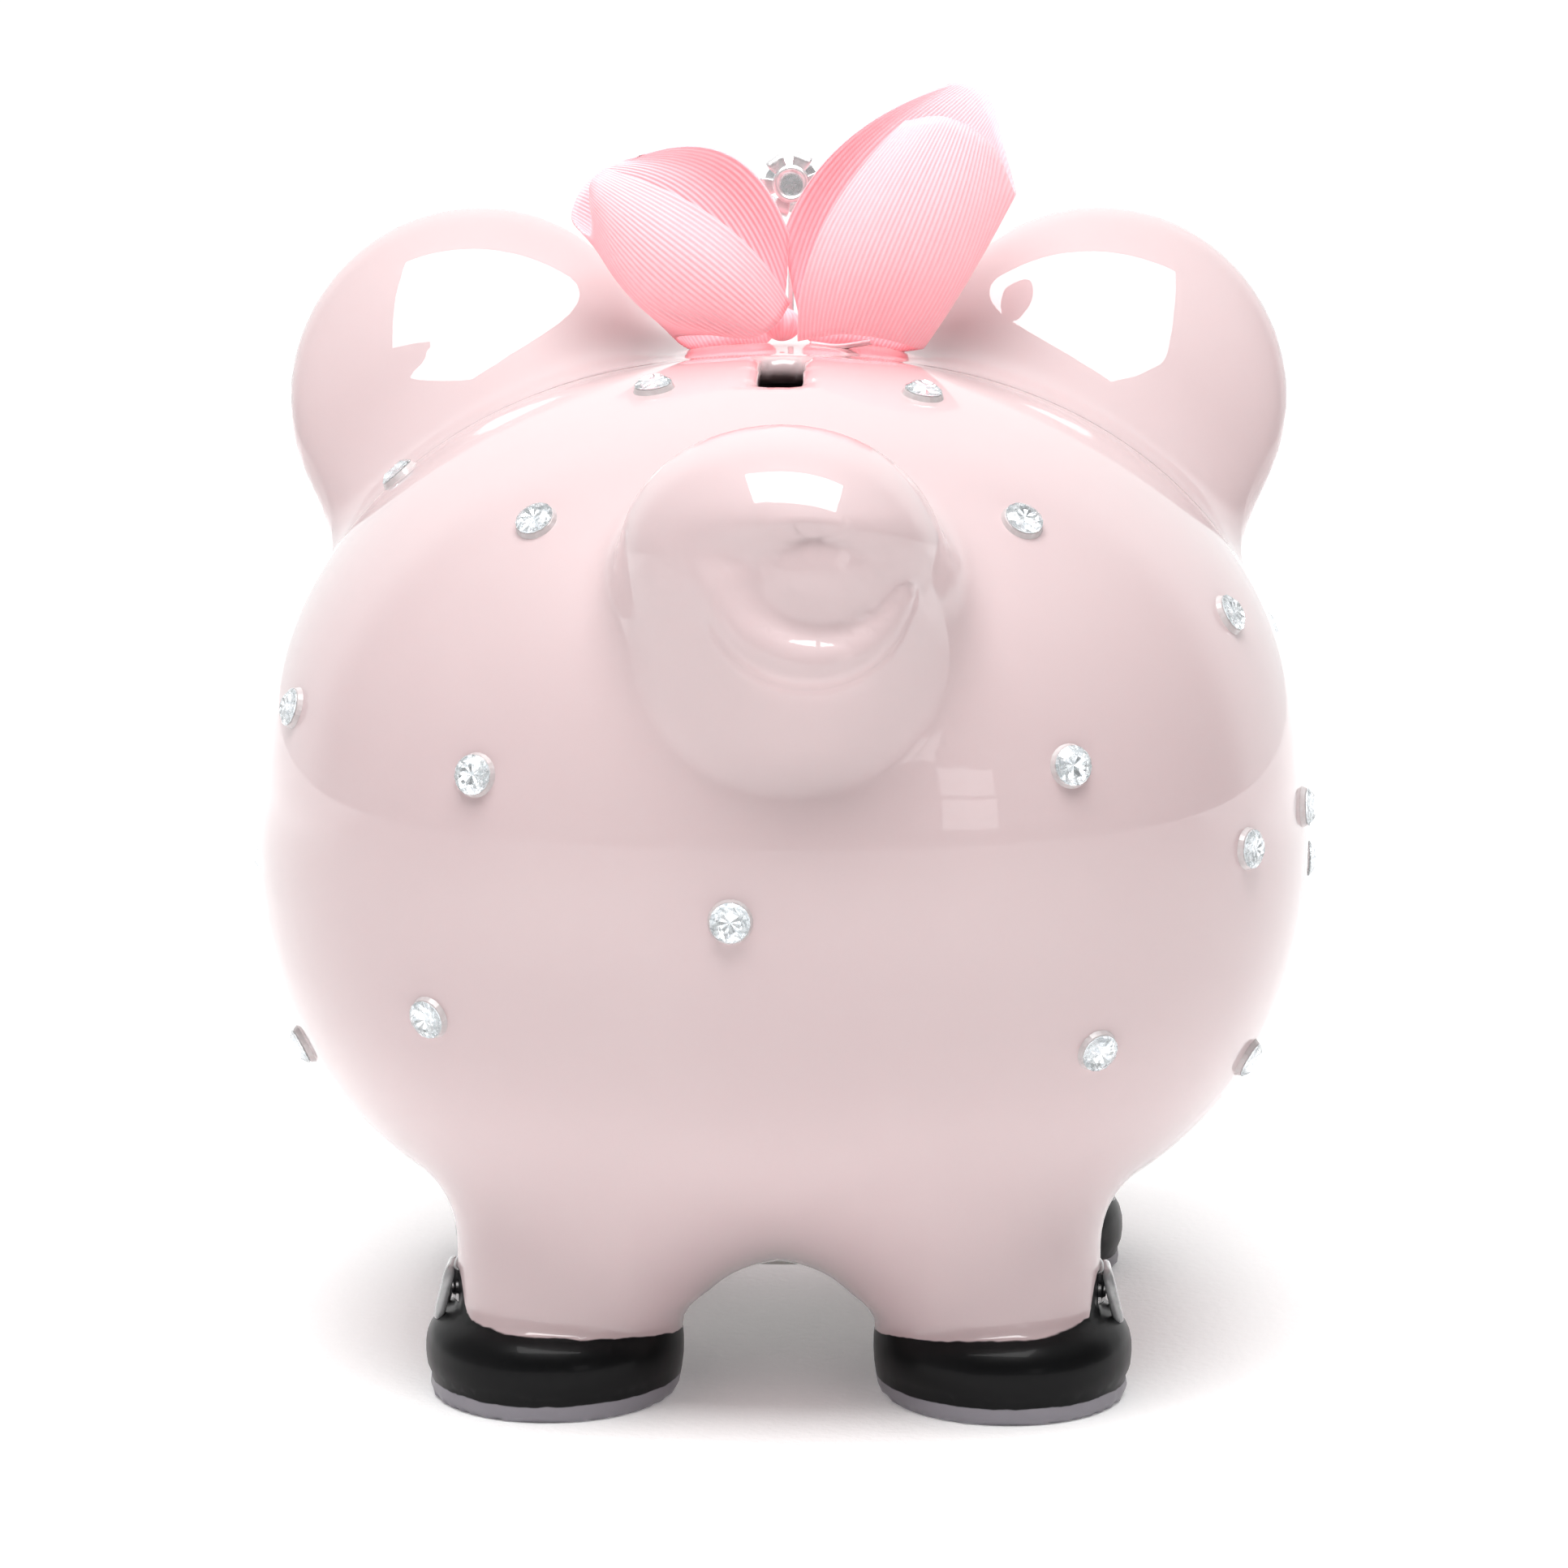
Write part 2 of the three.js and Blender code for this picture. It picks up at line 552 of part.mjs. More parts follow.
/** The closed strip of ribbon that runs through a loop's stations. */
function ribbonStrip(stations) {
  const curve = (row) => {
    const points = stations.map((station) => new THREE.Vector3(...station[row]));
    return new THREE.CatmullRomCurve3(points);
  };
  const [low, middle, high] = [curve(0), curve(1), curve(2)];
  const blank = new THREE.BoxGeometry(1, 1, 1, RIBBON_STEPS, RIBBON_ROWS, 1);
  return reshape(blank, (p) => {
    const along = Math.min(Math.max(p.x + 0.5, 0), 1);
    const across = p.y + 0.5;
    const [from, bend, to] = [low.getPoint(along), middle.getPoint(along), high.getPoint(along)];
    const run = low.getTangent(along).add(middle.getTangent(along)).add(high.getTangent(along));
    const width = from.clone().multiplyScalar(4 * across - 3);
    width.addScaledVector(bend, 4 - 8 * across).addScaledVector(to, 4 * across - 1);
    const side = p.z * RIBBON_THICK;
    p.copy(from).multiplyScalar((1 - across) * (1 - 2 * across));
    p.addScaledVector(bend, 4 * across * (1 - across)).addScaledVector(to, across * (2 * across - 1));
    p.addScaledVector(run.cross(width).normalize(), side);
  });
}

/** A round wire along a curve. */
function wireAlong(points, radius) {
  const path = new THREE.CatmullRomCurve3(points.map((point) => new THREE.Vector3(...point)));
  const section = new THREE.Shape().absarc(0, 0, radius, 0, 2 * Math.PI);
  return new THREE.ExtrudeGeometry(section, { extrudePath: path, steps: 8, curveSegments: 8 });
}

function bow() {
  const group = new THREE.Group();
  group.position.set(0, BOW_FORWARD, BODY_TOP - 1);
  group.add(piece('ribbon_loop_right', ribbonStrip(RIGHT_LOOP), RIBBON_PINK, 0.75));
  group.add(piece('ribbon_loop_left', ribbonStrip(LEFT_LOOP), RIBBON_PINK, 0.75));
  const fold = uprightSphere(14, 8).scale(PINCH_HALF.x, PINCH_HALF.y, PINCH_HALF.z);
  fold.translate(PINCH_PLACE.x, PINCH_PLACE.y, PINCH_PLACE.z);
  group.add(piece('ribbon_pinch', fold, FOLD_PINK, 0.75));
  const tie = wireAlong([[4, 4.5, 2.6], [9, 2, 2.8], [15, -1.5, 3]], TIE_RADIUS);
  group.add(piece('bow_wire', tie, METAL_SILVER, 0.25, 1));
  return group;
}

// ---------------------------------------------------------------- brooch
/** A ring hub with six flared arms that turn forward over the stone's edge. */
function broochSetting() {
  const profile = [
    [HUB_HOLE_RADIUS, 0],
    [HUB_RADIUS, 0],
    [HUB_RADIUS + HUB_TAPER, HUB_DEPTH],
    [HUB_HOLE_RADIUS, HUB_DEPTH],
    [HUB_HOLE_RADIUS, 0],
  ];
  let setting = solid(turned(profile, 16));
  for (let i = 0; i < PRONG_COUNT; i += 1) {
    const angle = (2 * Math.PI * (i + FIRST_PRONG)) / PRONG_COUNT;
    const armLength = PRONG_REACH - HUB_HOLE_RADIUS - PRONG_THICK;
    const arm = new THREE.BoxGeometry(armLength, PRONG_WIDTH, PRONG_THICK);
    arm.translate(PRONG_REACH - armLength / 2, 0, HUB_DEPTH / 2);
    const claw = new THREE.BoxGeometry(PRONG_THICK, PRONG_WIDTH, PRONG_GRIP);
    claw.translate(PRONG_REACH, 0, HUB_DEPTH / 2 - PRONG_THICK / 2 + PRONG_GRIP / 2);
    setting = setting.add(solid(arm.rotateZ(angle))).add(solid(claw.rotateZ(angle)));
  }
  return geometryOf(setting);
}

/** A cut stone: pavilion towards the hub, table to the front. */
function broochStone() {
  const base = HUB_DEPTH + FIT_GAP;
  return turned([
    [0, base],
    [STONE_RADIUS * 0.45, base],
    [STONE_RADIUS, base + STONE_PAVILION],
    [STONE_RADIUS, base + STONE_PAVILION + STONE_GIRDLE],
    [STONE_RADIUS * 0.6, base + STONE_PAVILION + STONE_GIRDLE + STONE_CROWN],
    [0, base + STONE_PAVILION + STONE_GIRDLE + STONE_CROWN],
  ], STONE_SIDES);
}

function brooch() {
  const group = new THREE.Group();
  group.position.set(BROOCH_ASIDE, BROOCH_FORWARD, BROOCH_HEIGHT);
  group.rotation.set(-Math.PI / 2, 0, 0);
  group.add(piece('brooch_setting', broochSetting(), METAL_SILVER, 0.2, 1));
  const stone = solid(broochStone());
  group.add(piece('brooch_stone', geometryOf(stone), CRYSTAL_WHITE, 0.03, 0.2));
  return group;
}

/** The wire that carries the brooch down to the bow's foot. */
function broochStem() {
  const top = BROOCH_HEIGHT - PRONG_REACH - PRONG_THICK - STEM_RADIUS - FIT_GAP;
  const wire = wireAlong([
    [BROOCH_ASIDE, BROOCH_FORWARD + HUB_DEPTH, top],
    [BROOCH_ASIDE, BROOCH_FORWARD - 1, top - STEM_DROP],
    [BROOCH_ASIDE, BOW_FORWARD + STEM_FOOT_FORWARD, BODY_TOP + STEM_FOOT_HEIGHT],
  ], STEM_RADIUS);
  return piece('brooch_stem', wire, METAL_SILVER, 0.25, 1);
}

// ---------------------------------------------------------------- assembly
const bank = new THREE.Group();
bank.add(ceramicBody(), stopper(), ...rhinestones(), bow(), brooch(), broochStem());

// The origin is on the floor, under the middle of the whole bank.
const extent = new THREE.Box3().setFromObject(bank);
const middle = extent.getCenter(new THREE.Vector3());
const model = new THREE.Group();
bank.position.set(-middle.x, -middle.y, -extent.min.z);
model.add(bank);
model.updateMatrixWorld(true);

export default model;
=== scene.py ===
"""A glossy ceramic pig money bank with glued rhinestones, a grosgrain bow and a pronged brooch.

Lengths are in metres in the bank's own frame: +Z up, the pig looks along +Y, the floor is Z = 0.
"""
from __future__ import annotations

import logging
import math
from dataclasses import dataclass, field
from enum import IntEnum
from itertools import product
from typing import Callable, Sequence

import bpy
import numpy as np
from numpy.typing import NDArray
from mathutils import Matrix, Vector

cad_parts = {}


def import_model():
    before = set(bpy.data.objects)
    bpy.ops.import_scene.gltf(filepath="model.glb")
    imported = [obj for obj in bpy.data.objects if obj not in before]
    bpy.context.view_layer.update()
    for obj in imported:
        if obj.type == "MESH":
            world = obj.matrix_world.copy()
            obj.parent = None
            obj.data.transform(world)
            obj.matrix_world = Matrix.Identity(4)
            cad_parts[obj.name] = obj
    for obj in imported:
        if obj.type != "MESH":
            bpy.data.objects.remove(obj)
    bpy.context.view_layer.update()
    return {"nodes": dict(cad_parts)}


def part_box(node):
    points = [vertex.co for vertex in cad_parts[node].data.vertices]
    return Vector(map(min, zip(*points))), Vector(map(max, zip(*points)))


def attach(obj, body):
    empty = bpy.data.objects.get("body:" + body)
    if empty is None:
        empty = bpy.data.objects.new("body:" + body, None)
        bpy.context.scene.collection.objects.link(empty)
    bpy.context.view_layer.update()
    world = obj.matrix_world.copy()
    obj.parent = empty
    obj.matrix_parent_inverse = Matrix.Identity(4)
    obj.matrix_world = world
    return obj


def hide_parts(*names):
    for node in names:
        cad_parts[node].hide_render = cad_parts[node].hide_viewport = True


Array = NDArray[np.float64]
Colour = tuple[float, float, float]

MM = 0.001
TURN = 2.0 * math.pi
BANK_BODY = "bank"
STOPPER_BODY = "stopper"
RIBBON_WIDTH = 0.038

log = logging.getLogger("coin_bank")


class LegPair(IntEnum):
    """The pig's two pairs of legs; the value is the pair's place in sizes given for both."""

    REAR = 0
    FRONT = 1


# ---------------------------------------------------------------------------- shader toolkit
class Wire:
    """One output socket of a shader node, with arithmetic that adds Math nodes."""

    def __init__(self, shader: "Shader", socket: bpy.types.NodeSocket) -> None:
        """Keeps the socket and the shader that it belongs to."""
        self.shader = shader
        self.socket = socket

    def math(self, operation: str, *others: "Wire | float") -> "Wire":
        """Feeds this wire and others to a Math node.

        Args:
            operation: the Math node's operation.
            others: the second and third operands.

        Returns:
            The result's wire.
        """
        operands = dict(enumerate((self, *others)))
        return self.shader.wire("ShaderNodeMath", {"operation": operation}, operands)

    def __add__(self, other: "Wire | float") -> "Wire":
        """Sum."""
        return self.math("ADD", other)

    __radd__ = __add__

    def __mul__(self, other: "Wire | float") -> "Wire":
        """Product."""
        return self.math("MULTIPLY", other)

    __rmul__ = __mul__

    def __sub__(self, other: "Wire | float") -> "Wire":
        """Difference."""
        return self.math("SUBTRACT", other)

    def __rsub__(self, other: float) -> "Wire":
        """Difference from a number."""
        return self * -1.0 + other

    def __truediv__(self, other: "Wire | float") -> "Wire":
        """Quotient."""
        return self.math("DIVIDE", other)

    def __abs__(self) -> "Wire":
        """Magnitude."""
        return self.math("ABSOLUTE")

    def step(self, low: float, high: float) -> "Wire":
        """A smooth step from 0 at low to 1 at high.

        Args:
            low: value where the step starts.
            high: value where the step ends.

        Returns:
            The step's wire, from 0 to 1.
        """
        inputs = {"Value": self, "From Min": low, "From Max": high}
        return self.shader.wire("ShaderNodeMapRange", {"interpolation_type": "SMOOTHSTEP"}, inputs)


class Shader:
    """A material with one Principled shader, built by adding nodes and wires."""

    def __init__(self, name: str) -> None:
        """Makes an empty material that has only the Principled shader and its output."""
        self.material = bpy.data.materials.new(name)
        self.material.use_nodes = True
        self.tree = self.material.node_tree
        self.tree.nodes.clear()
        self.surface = self.node("ShaderNodeBsdfPrincipled")
        output = self.node("ShaderNodeOutputMaterial")
        self.tree.links.new(self.surface.outputs["BSDF"], output.inputs["Surface"])

    def node(
        self,
        kind: str,
        settings: dict[str, object] | None = None,
        inputs: dict[str | int, object] | None = None,
    ) -> bpy.types.Node:
        """Adds one node.

        Args:
            kind: the node's type name.
            settings: attributes that are set before the sockets.
            inputs: socket values, or wires to link.

        Returns:
            The node.
        """
        made = self.tree.nodes.new(kind)
        for key, value in (settings or {}).items():
            setattr(made, key, value)
        for key, value in (inputs or {}).items():
            if isinstance(value, Wire):
                self.tree.links.new(value.socket, made.inputs[key])
            else:
                made.inputs[key].default_value = value
        return made

    def wire(
        self,
        kind: str,
        settings: dict[str, object] | None = None,
        inputs: dict[str | int, object] | None = None,
        output: str | int = 0,
    ) -> Wire:
        """Adds one node and returns one of its outputs as a wire."""
        return Wire(self, self.node(kind, settings, inputs).outputs[output])

    def set(self, **values: object) -> "Shader":
        """Sets the Principled shader's sockets, with underscores for spaces in their names."""
        for key, value in values.items():
            socket = self.surface.inputs[key.replace("_", " ")]
            if isinstance(value, Wire):
                self.tree.links.new(value.socket, socket)
            else:
                socket.default_value = value
        return self

    def place(self) -> Wire:
        """The point on the object, in metres."""
        return self.wire("ShaderNodeTexCoord", output="Object")

    def axes(self) -> tuple[Wire, Wire, Wire]:
        """The point's x, y and z."""
        split = self.node("ShaderNodeSeparateXYZ", inputs={0: self.place()})
        return tuple(Wire(self, split.outputs[i]) for i in range(3))

    def attribute(self, name: str) -> Wire:
        """A number stored on the mesh's points."""
        settings = {"attribute_type": "GEOMETRY", "attribute_name": name}
        return self.wire("ShaderNodeAttribute", settings, output="Fac")

    def noise(self, per_metre: float, detail: float = 2.0, vector: Wire | None = None) -> Wire:
        """Fractal noise around 0.5, with features of about 1 / per_metre."""
        inputs = {"Vector": vector or self.place(), "Scale": per_metre, "Detail": detail}
        return self.wire("ShaderNodeTexNoise", inputs=inputs)

    def mix(self, share: Wire, start: Colour | Wire, end: Colour | Wire) -> Wire:
        """Mixes two colours by a share from 0 to 1."""
        rgba = [c if isinstance(c, Wire) else (*c, 1.0) for c in (start, end)]
        inputs = {0: share, 6: rgba[0], 7: rgba[1]}
        return self.wire("ShaderNodeMix", {"data_type": "RGBA"}, inputs, output=2)

    def bump(self, height: Wire, depth: float, strength: float = 1.0) -> "Shader":
        """Feeds a height map to the shader's normal.

        Args:
            height: relief from 0 to 1.
            depth: relief's full depth in metres.
            strength: share of the relief that shows.

        Returns:
            The shader.
        """
        inputs = {"Height": height, "Distance": depth, "Strength": strength}
        return self.set(Normal=self.wire("ShaderNodeBump", inputs=inputs))


# ---------------------------------------------------------------------------- finishes
@dataclass(frozen=True)
class GlazeFinish:
    """High-gloss pink glaze with black and grey glaze on the shoes and painted eyes."""

    pink: Colour = (0.625, 0.492, 0.498)
    pooled_pink: Colour = (0.585, 0.445, 0.456)
    shoe_black: Colour = (0.006, 0.0062, 0.0066)
    sole_grey: Colour = (0.30, 0.285, 0.315)
    eye_black: Colour = (0.008, 0.007, 0.008)
    eye_white: Colour = (0.86, 0.86, 0.86)
    blush: Colour = (0.78, 0.42, 0.45)

    def build(self, face: "PaintedFace") -> bpy.types.Material:
        """Paints the casting by its stored paint reaches and the face by ellipses.

        Args:
            face: where the eyes and cheeks are.

        Returns:
            The material.
        """
        shader = Shader("glazed_ceramic")
        cloud = shader.noise(22.0, 3.0)
        colour = shader.mix(cloud.step(0.35, 0.75) * 0.35, self.pink, self.pooled_pink)
        specks = shader.noise(900.0, 1.0).step(0.74, 0.80) * 0.12
        colour = shader.mix(specks, colour, self.pooled_pink)
        colour = face.paint(shader, colour, self)
        wobble = shader.noise(170.0, 2.0) - 0.5
        shoe = (shader.attribute("shoe_reach") + wobble * 0.9).step(-0.12, 0.12)
        colour = shader.mix(shoe, colour, self.shoe_black)
        sole = (shader.attribute("sole_reach") + wobble * 0.8).step(-0.12, 0.12)
        colour = shader.mix(sole, colour, self.sole_grey)
        shader.set(Base_Color=colour, Roughness=0.30 + shader.noise(60.0, 2.0) * 0.06)
        shader.set(Coat_Weight=1.0 - shoe * 0.94, Coat_Roughness=0.02, Coat_IOR=1.52, Specular_IOR_Level=0.1)
        shader.set(Subsurface_Weight=0.06, Subsurface_Radius=(0.006, 0.003, 0.0028))
        relief = shader.noise(38.0, 1.0) + shader.noise(420.0, 1.0) * 0.05
        return shader.bump(relief, 0.0005, 0.22).material


@dataclass(frozen=True)
class ReliefFinish:
    """One colour of glossy glaze on a small raised detail, with random patches worn thinner."""

    name: str
    colour: Colour
    worn: Colour

    def build(self) -> bpy.types.Material:
        """Makes the material."""
        shader = Shader(self.name)
        cloud = shader.noise(420.0, 3.0).step(0.4, 0.7)
        shader.set(Base_Color=shader.mix(cloud, self.colour, self.worn))
        shader.set(Roughness=0.18 + cloud * 0.08, Coat_Weight=1.0, Coat_Roughness=0.03)
        return shader.bump(shader.noise(260.0, 2.0), 0.0003, 0.3).material


@dataclass(frozen=True)
class RubberFinish:
    """Matt off-white moulded rubber with fine grain and dust."""

    colour: Colour = (0.62, 0.60, 0.57)
    grimy: Colour = (0.47, 0.45, 0.42)

    def build(self) -> bpy.types.Material:
        """Makes the material."""
        shader = Shader("stopper_rubber")
        cloud = shader.noise(120.0, 4.0).step(0.45, 0.8)
        shader.set(Base_Color=shader.mix(cloud, self.colour, self.grimy))
        shader.set(Roughness=0.62 + cloud * 0.2, Subsurface_Weight=0.04)
        return shader.bump(shader.noise(1800.0, 2.0), 0.0002, 0.35).material


@dataclass(frozen=True)
class CrystalFinish:
    """Clear cut glass."""

    name: str = "rhinestone_crystal"
    tint: Colour = (0.97, 0.985, 1.0)

    def build(self) -> bpy.types.Material:
        """Makes the material, with the faintest haze of handling on its facets."""
        shader = Shader(self.name)
        haze = shader.noise(900.0, 2.0).step(0.5, 0.9)
        shader.set(Base_Color=shader.mix(haze, self.tint, (0.9, 0.93, 0.96)))
        shader.set(Roughness=haze * 0.03, IOR=1.58, Transmission_Weight=1.0)
        return shader.material


@dataclass(frozen=True)
class FoilFinish:
    """Silvered backing behind a cut stone, with a faint painted glow."""

    silver: Colour = (0.97, 0.975, 0.98)
    dull: Colour = (0.62, 0.65, 0.68)

    def build(self) -> bpy.types.Material:
        """Makes the material."""
        shader = Shader("silver_foil")
        cloud = shader.noise(1500.0, 2.0).step(0.35, 0.75)
        shader.set(Base_Color=shader.mix(cloud, self.silver, self.dull))
        shader.set(Metallic=1.0, Roughness=0.20 + cloud * 0.14)
        # Painted glow: a constant grey emission stands in for light the stone would gather onto its foil.
        shader.set(Emission_Color=(0.14, 0.15, 0.15, 1.0), Emission_Strength=1.0)
        return shader.material


@dataclass(frozen=True)
class GlueFinish:
    """Clear adhesive squeezed out round a stone."""

    colour: Colour = (0.80, 0.72, 0.72)

    def build(self) -> bpy.types.Material:
        """Makes the material."""
        shader = Shader("clear_adhesive")
        cloud = shader.noise(800.0, 2.0).step(0.3, 0.8)
        shader.set(Base_Color=shader.mix(cloud, self.colour, (0.88, 0.84, 0.84)))
        shader.set(Roughness=0.12 + cloud * 0.1, Transmission_Weight=0.35, IOR=1.47)
        return shader.material


@dataclass(frozen=True)
class GrosgrainFinish:
    """Pink ribbed polyester ribbon with a satin sheen, painted shade in its rib valleys and by the tie, and a
    painted glow.
    """

    pink: Colour = (0.97, 0.62, 0.66)
    # deep is the ribbon's random darker tone and also the pink of its painted shade.
    deep: Colour = (0.95, 0.34, 0.39)
    # Painted glow: the ribbon emits light as if lit through, though it is no lamp.
    painted_glow_low: Colour = (0.20, 0.050, 0.060)
    painted_glow_high: Colour = (0.36, 0.25, 0.27)
    ribs_per_metre: float = 1136.4
    width: float = RIBBON_WIDTH

    def build(self) -> bpy.types.Material:
        """Colours the threads by the ribbon's own coordinates, u along its run and v across, with painted
        shade and a painted glow.
        """
        shader = Shader("grosgrain_ribbon")
        split = shader.node("ShaderNodeSeparateXYZ", inputs={0: shader.wire("ShaderNodeUVMap")})
        run, across = (Wire(shader, split.outputs[i]) for i in range(2))
        # Painted shade: deep pink in the valleys between the woven ribs.
        painted_rib_shade = (run * (TURN * self.ribs_per_metre)).math("SINE") * -0.5 + 0.5
        fibres = (across * (TURN * 2600.0)).math("SINE") * 0.5 + 0.5
        cloud = shader.noise(160.0, 3.0)
        # Painted shade: deeper pink towards the low edge, by the tie.
        painted_tie_shade = 1.0 - across.step(0.0, self.width * 0.5)
        # Painted glow, brighter further along the run and towards the high edge, where the far walls are.
        painted_backlight = run.step(0.035, 0.046) * across.step(self.width * 0.35, self.width)
        share = painted_rib_shade * 0.38 + fibres * 0.04 + cloud * 0.08 + painted_tie_shade * 0.14
        shader.set(Emission_Color=shader.mix(painted_backlight, self.painted_glow_low, self.painted_glow_high), Emission_Strength=1.0)
        shader.set(Base_Color=shader.mix(share, self.pink, self.deep))
        shader.set(Roughness=0.58 + cloud * 0.15, Sheen_Weight=0.35, Sheen_Roughness=0.4)
        shader.set(Subsurface_Weight=0.3, Subsurface_Radius=(0.003, 0.0015, 0.0015))
        return shader.bump(fibres * 0.3 + cloud * 0.7, 0.0001, 0.3).material


@dataclass(frozen=True)
class MetalFinish:
    """Bright plated metal with soft stamping marks."""

    name: str
    bright: Colour = (0.96, 0.955, 0.96)
    tarnish: Colour = (0.70, 0.67, 0.68)

    def build(self) -> bpy.types.Material:
        """Makes the material."""
        shader = Shader(self.name)
        cloud = shader.noise(700.0, 3.0).step(0.42, 0.8)
        shader.set(Base_Color=shader.mix(cloud, self.bright, self.tarnish))
        shader.set(Metallic=1.0, Roughness=0.38 + cloud * 0.16)
        return shader.bump(shader.noise(1600.0, 2.0), 0.00008, 0.3).material


@dataclass(frozen=True)
class FloorFinish:
    """White sweep of matt paper with a fine grain and a painted glow that is weaker round the bank."""

    white: Colour = (0.93, 0.93, 0.93)

    def build(self) -> bpy.types.Material:
        """Makes the material."""
        shader = Shader("white_sweep")
        grain = shader.noise(650.0, 3.0)
        shader.set(Base_Color=shader.mix(grain * 0.25, self.white, (0.80, 0.79, 0.78)))
        # Painted light: the floor glows, least near the bank so that its shadow stays grey, and almost white
        # far behind it.
        x, y, _ = shader.axes()
        radius = (x * x + y * y).math("SQRT")
        away = radius.step(0.12, 0.45)
        glow = shader.mix(away, (0.16, 0.16, 0.16), (0.30, 0.30, 0.30))
        behind = radius.step(0.5, 1.1) * y.step(0.0, 0.5)
        glow = shader.mix(behind, glow, (0.95, 0.95, 0.95))
        shader.set(Roughness=0.7, Emission_Color=glow, Emission_Strength=1.0)
        return shader.bump(grain, 0.0006, 0.5).material


# ---------------------------------------------------------------------------- mesh helpers
def new_mesh_object(
    name: str,
    points: Array,
    faces: Sequence[NDArray[np.int64]],
    materials: Sequence[bpy.types.Material],
    smooth: bool = True,
) -> bpy.types.Object:
    """Puts whole arrays of points and faces into a new object at the origin.

    Args:
        name: the object's name.
        points: one row of x, y, z for each point.
        faces: index arrays, each with its own corner count for all of its faces.
        materials: one finish for each array; arrays past the last finish share it.
        smooth: whether the faces shade smoothly.

    Returns:
        The object.
    """
    mesh = bpy.data.meshes.new(name)
    totals = np.concatenate([np.full(len(part), part.shape[1]) for part in faces])
    loops = np.concatenate([part.ravel() for part in faces])
    slots = np.concatenate([np.full(len(part), i) for i, part in enumerate(faces)])
    starts = np.concatenate([[0], np.cumsum(totals)[:-1]])
    mesh.vertices.add(len(points))
    mesh.vertices.foreach_set("co", np.asarray(points, float).ravel())
    mesh.loops.add(len(loops))
    mesh.loops.foreach_set("vertex_index", loops.astype(np.int32))
    mesh.polygons.add(len(totals))
    mesh.polygons.foreach_set("loop_start", starts.astype(np.int32))
    mesh.update(calc_edges=True)
    for material in materials:
        mesh.materials.append(material)
    mesh.polygons.foreach_set("material_index", np.minimum(slots, len(materials) - 1).astype(np.int32))
    mesh.polygons.foreach_set("use_smooth", np.full(len(totals), smooth))
    mesh.validate()
    made = bpy.data.objects.new(name, mesh)
    bpy.context.scene.collection.objects.link(made)
    return made


def grid_quads(rows: int, columns: int, wrap_rows: bool, wrap_columns: bool) -> NDArray[np.int64]:
    """Quads of a grid of points stored row by row, each facing columns x rows.

    Args:
        rows: number of rows.
        columns: number of columns.
        wrap_rows: whether the last row joins the first.
        wrap_columns: whether the last column joins the first.

    Returns:
        One row of four point numbers for each quad.
    """
    row = np.arange(rows if wrap_rows else rows - 1)[:, None]
    column = np.arange(columns if wrap_columns else columns - 1)[None, :]
    next_row, next_column = (row + 1) % rows, (column + 1) % columns
    corners = (
        row * columns + column,
        row * columns + next_column,
        next_row * columns + next_column,
        next_row * columns + column,
    )
    return np.stack([c.ravel() for c in corners], axis=1)


def axes_towards(direction: Array) -> Array:
    """Three unit rows: two across a direction, then the direction itself."""
    forward = np.asarray(direction, float) / np.linalg.norm(direction)
    helper = np.array([0.0, 0.0, 1.0]) if abs(forward[2]) < 0.9 else np.array([0.0, 1.0, 0.0])
    across = np.cross(helper, forward)
    across /= np.linalg.norm(across)
    return np.stack([across, np.cross(forward, across), forward])


def turned_points(profile: Array, sides: int, origin: Array, axes: Array) -> Array:
    """Points of a profile of radius and height carried round an axis.

    A point is origin + radius (cos t across + sin t up) + height forward.

    Args:
        profile: rows of radius and height.
        sides: number of steps round the axis.
        origin: where radius and height are zero.
        axes: rows across, up and forward.

    Returns:
        The points, ring by ring.
    """
    angle = np.arange(sides) * TURN / sides
    ring = np.cos(angle)[:, None] * axes[0] + np.sin(angle)[:, None] * axes[1]
    radius, height = profile[:, 0], profile[:, 1]
    points = radius[:, None, None] * ring[None] + height[:, None, None] * axes[2]
    return (points + origin).reshape(-1, 3)


def swept_tube(path: Array, radius: float, sides: int) -> tuple[Array, NDArray[np.int64]]:
    """A round tube along a path, its ends drawn in to a point.

    Each ring is path point + radius (cos t side + sin t up), and the first and last rings have
    no radius, so the tube is closed.

    Args:
        path: rows of points.
        radius: the tube's radius.
        sides: number of steps round it.

    Returns:
        Points and quads.
    """
    line = np.vstack([path[:1], path, path[-1:]])
    ahead = np.gradient(path, axis=0)
    ahead = np.vstack([ahead[:1], ahead, ahead[-1:]])
    ahead /= np.linalg.norm(ahead, axis=1)[:, None]
    side = np.cross(ahead, np.array([0.13, 0.21, 0.97]))
    side /= np.linalg.norm(side, axis=1)[:, None]
    up = np.cross(ahead, side)
    size = np.full(len(line), radius)
    size[[0, -1]] = radius * 0.02
    angle = np.arange(sides) * TURN / sides
    ring = np.cos(angle)[None, :, None] * side[:, None] - np.sin(angle)[None, :, None] * up[:, None]
    points = line[:, None] + size[:, None, None] * ring
    return points.reshape(-1, 3), grid_quads(len(line), sides, False, True)


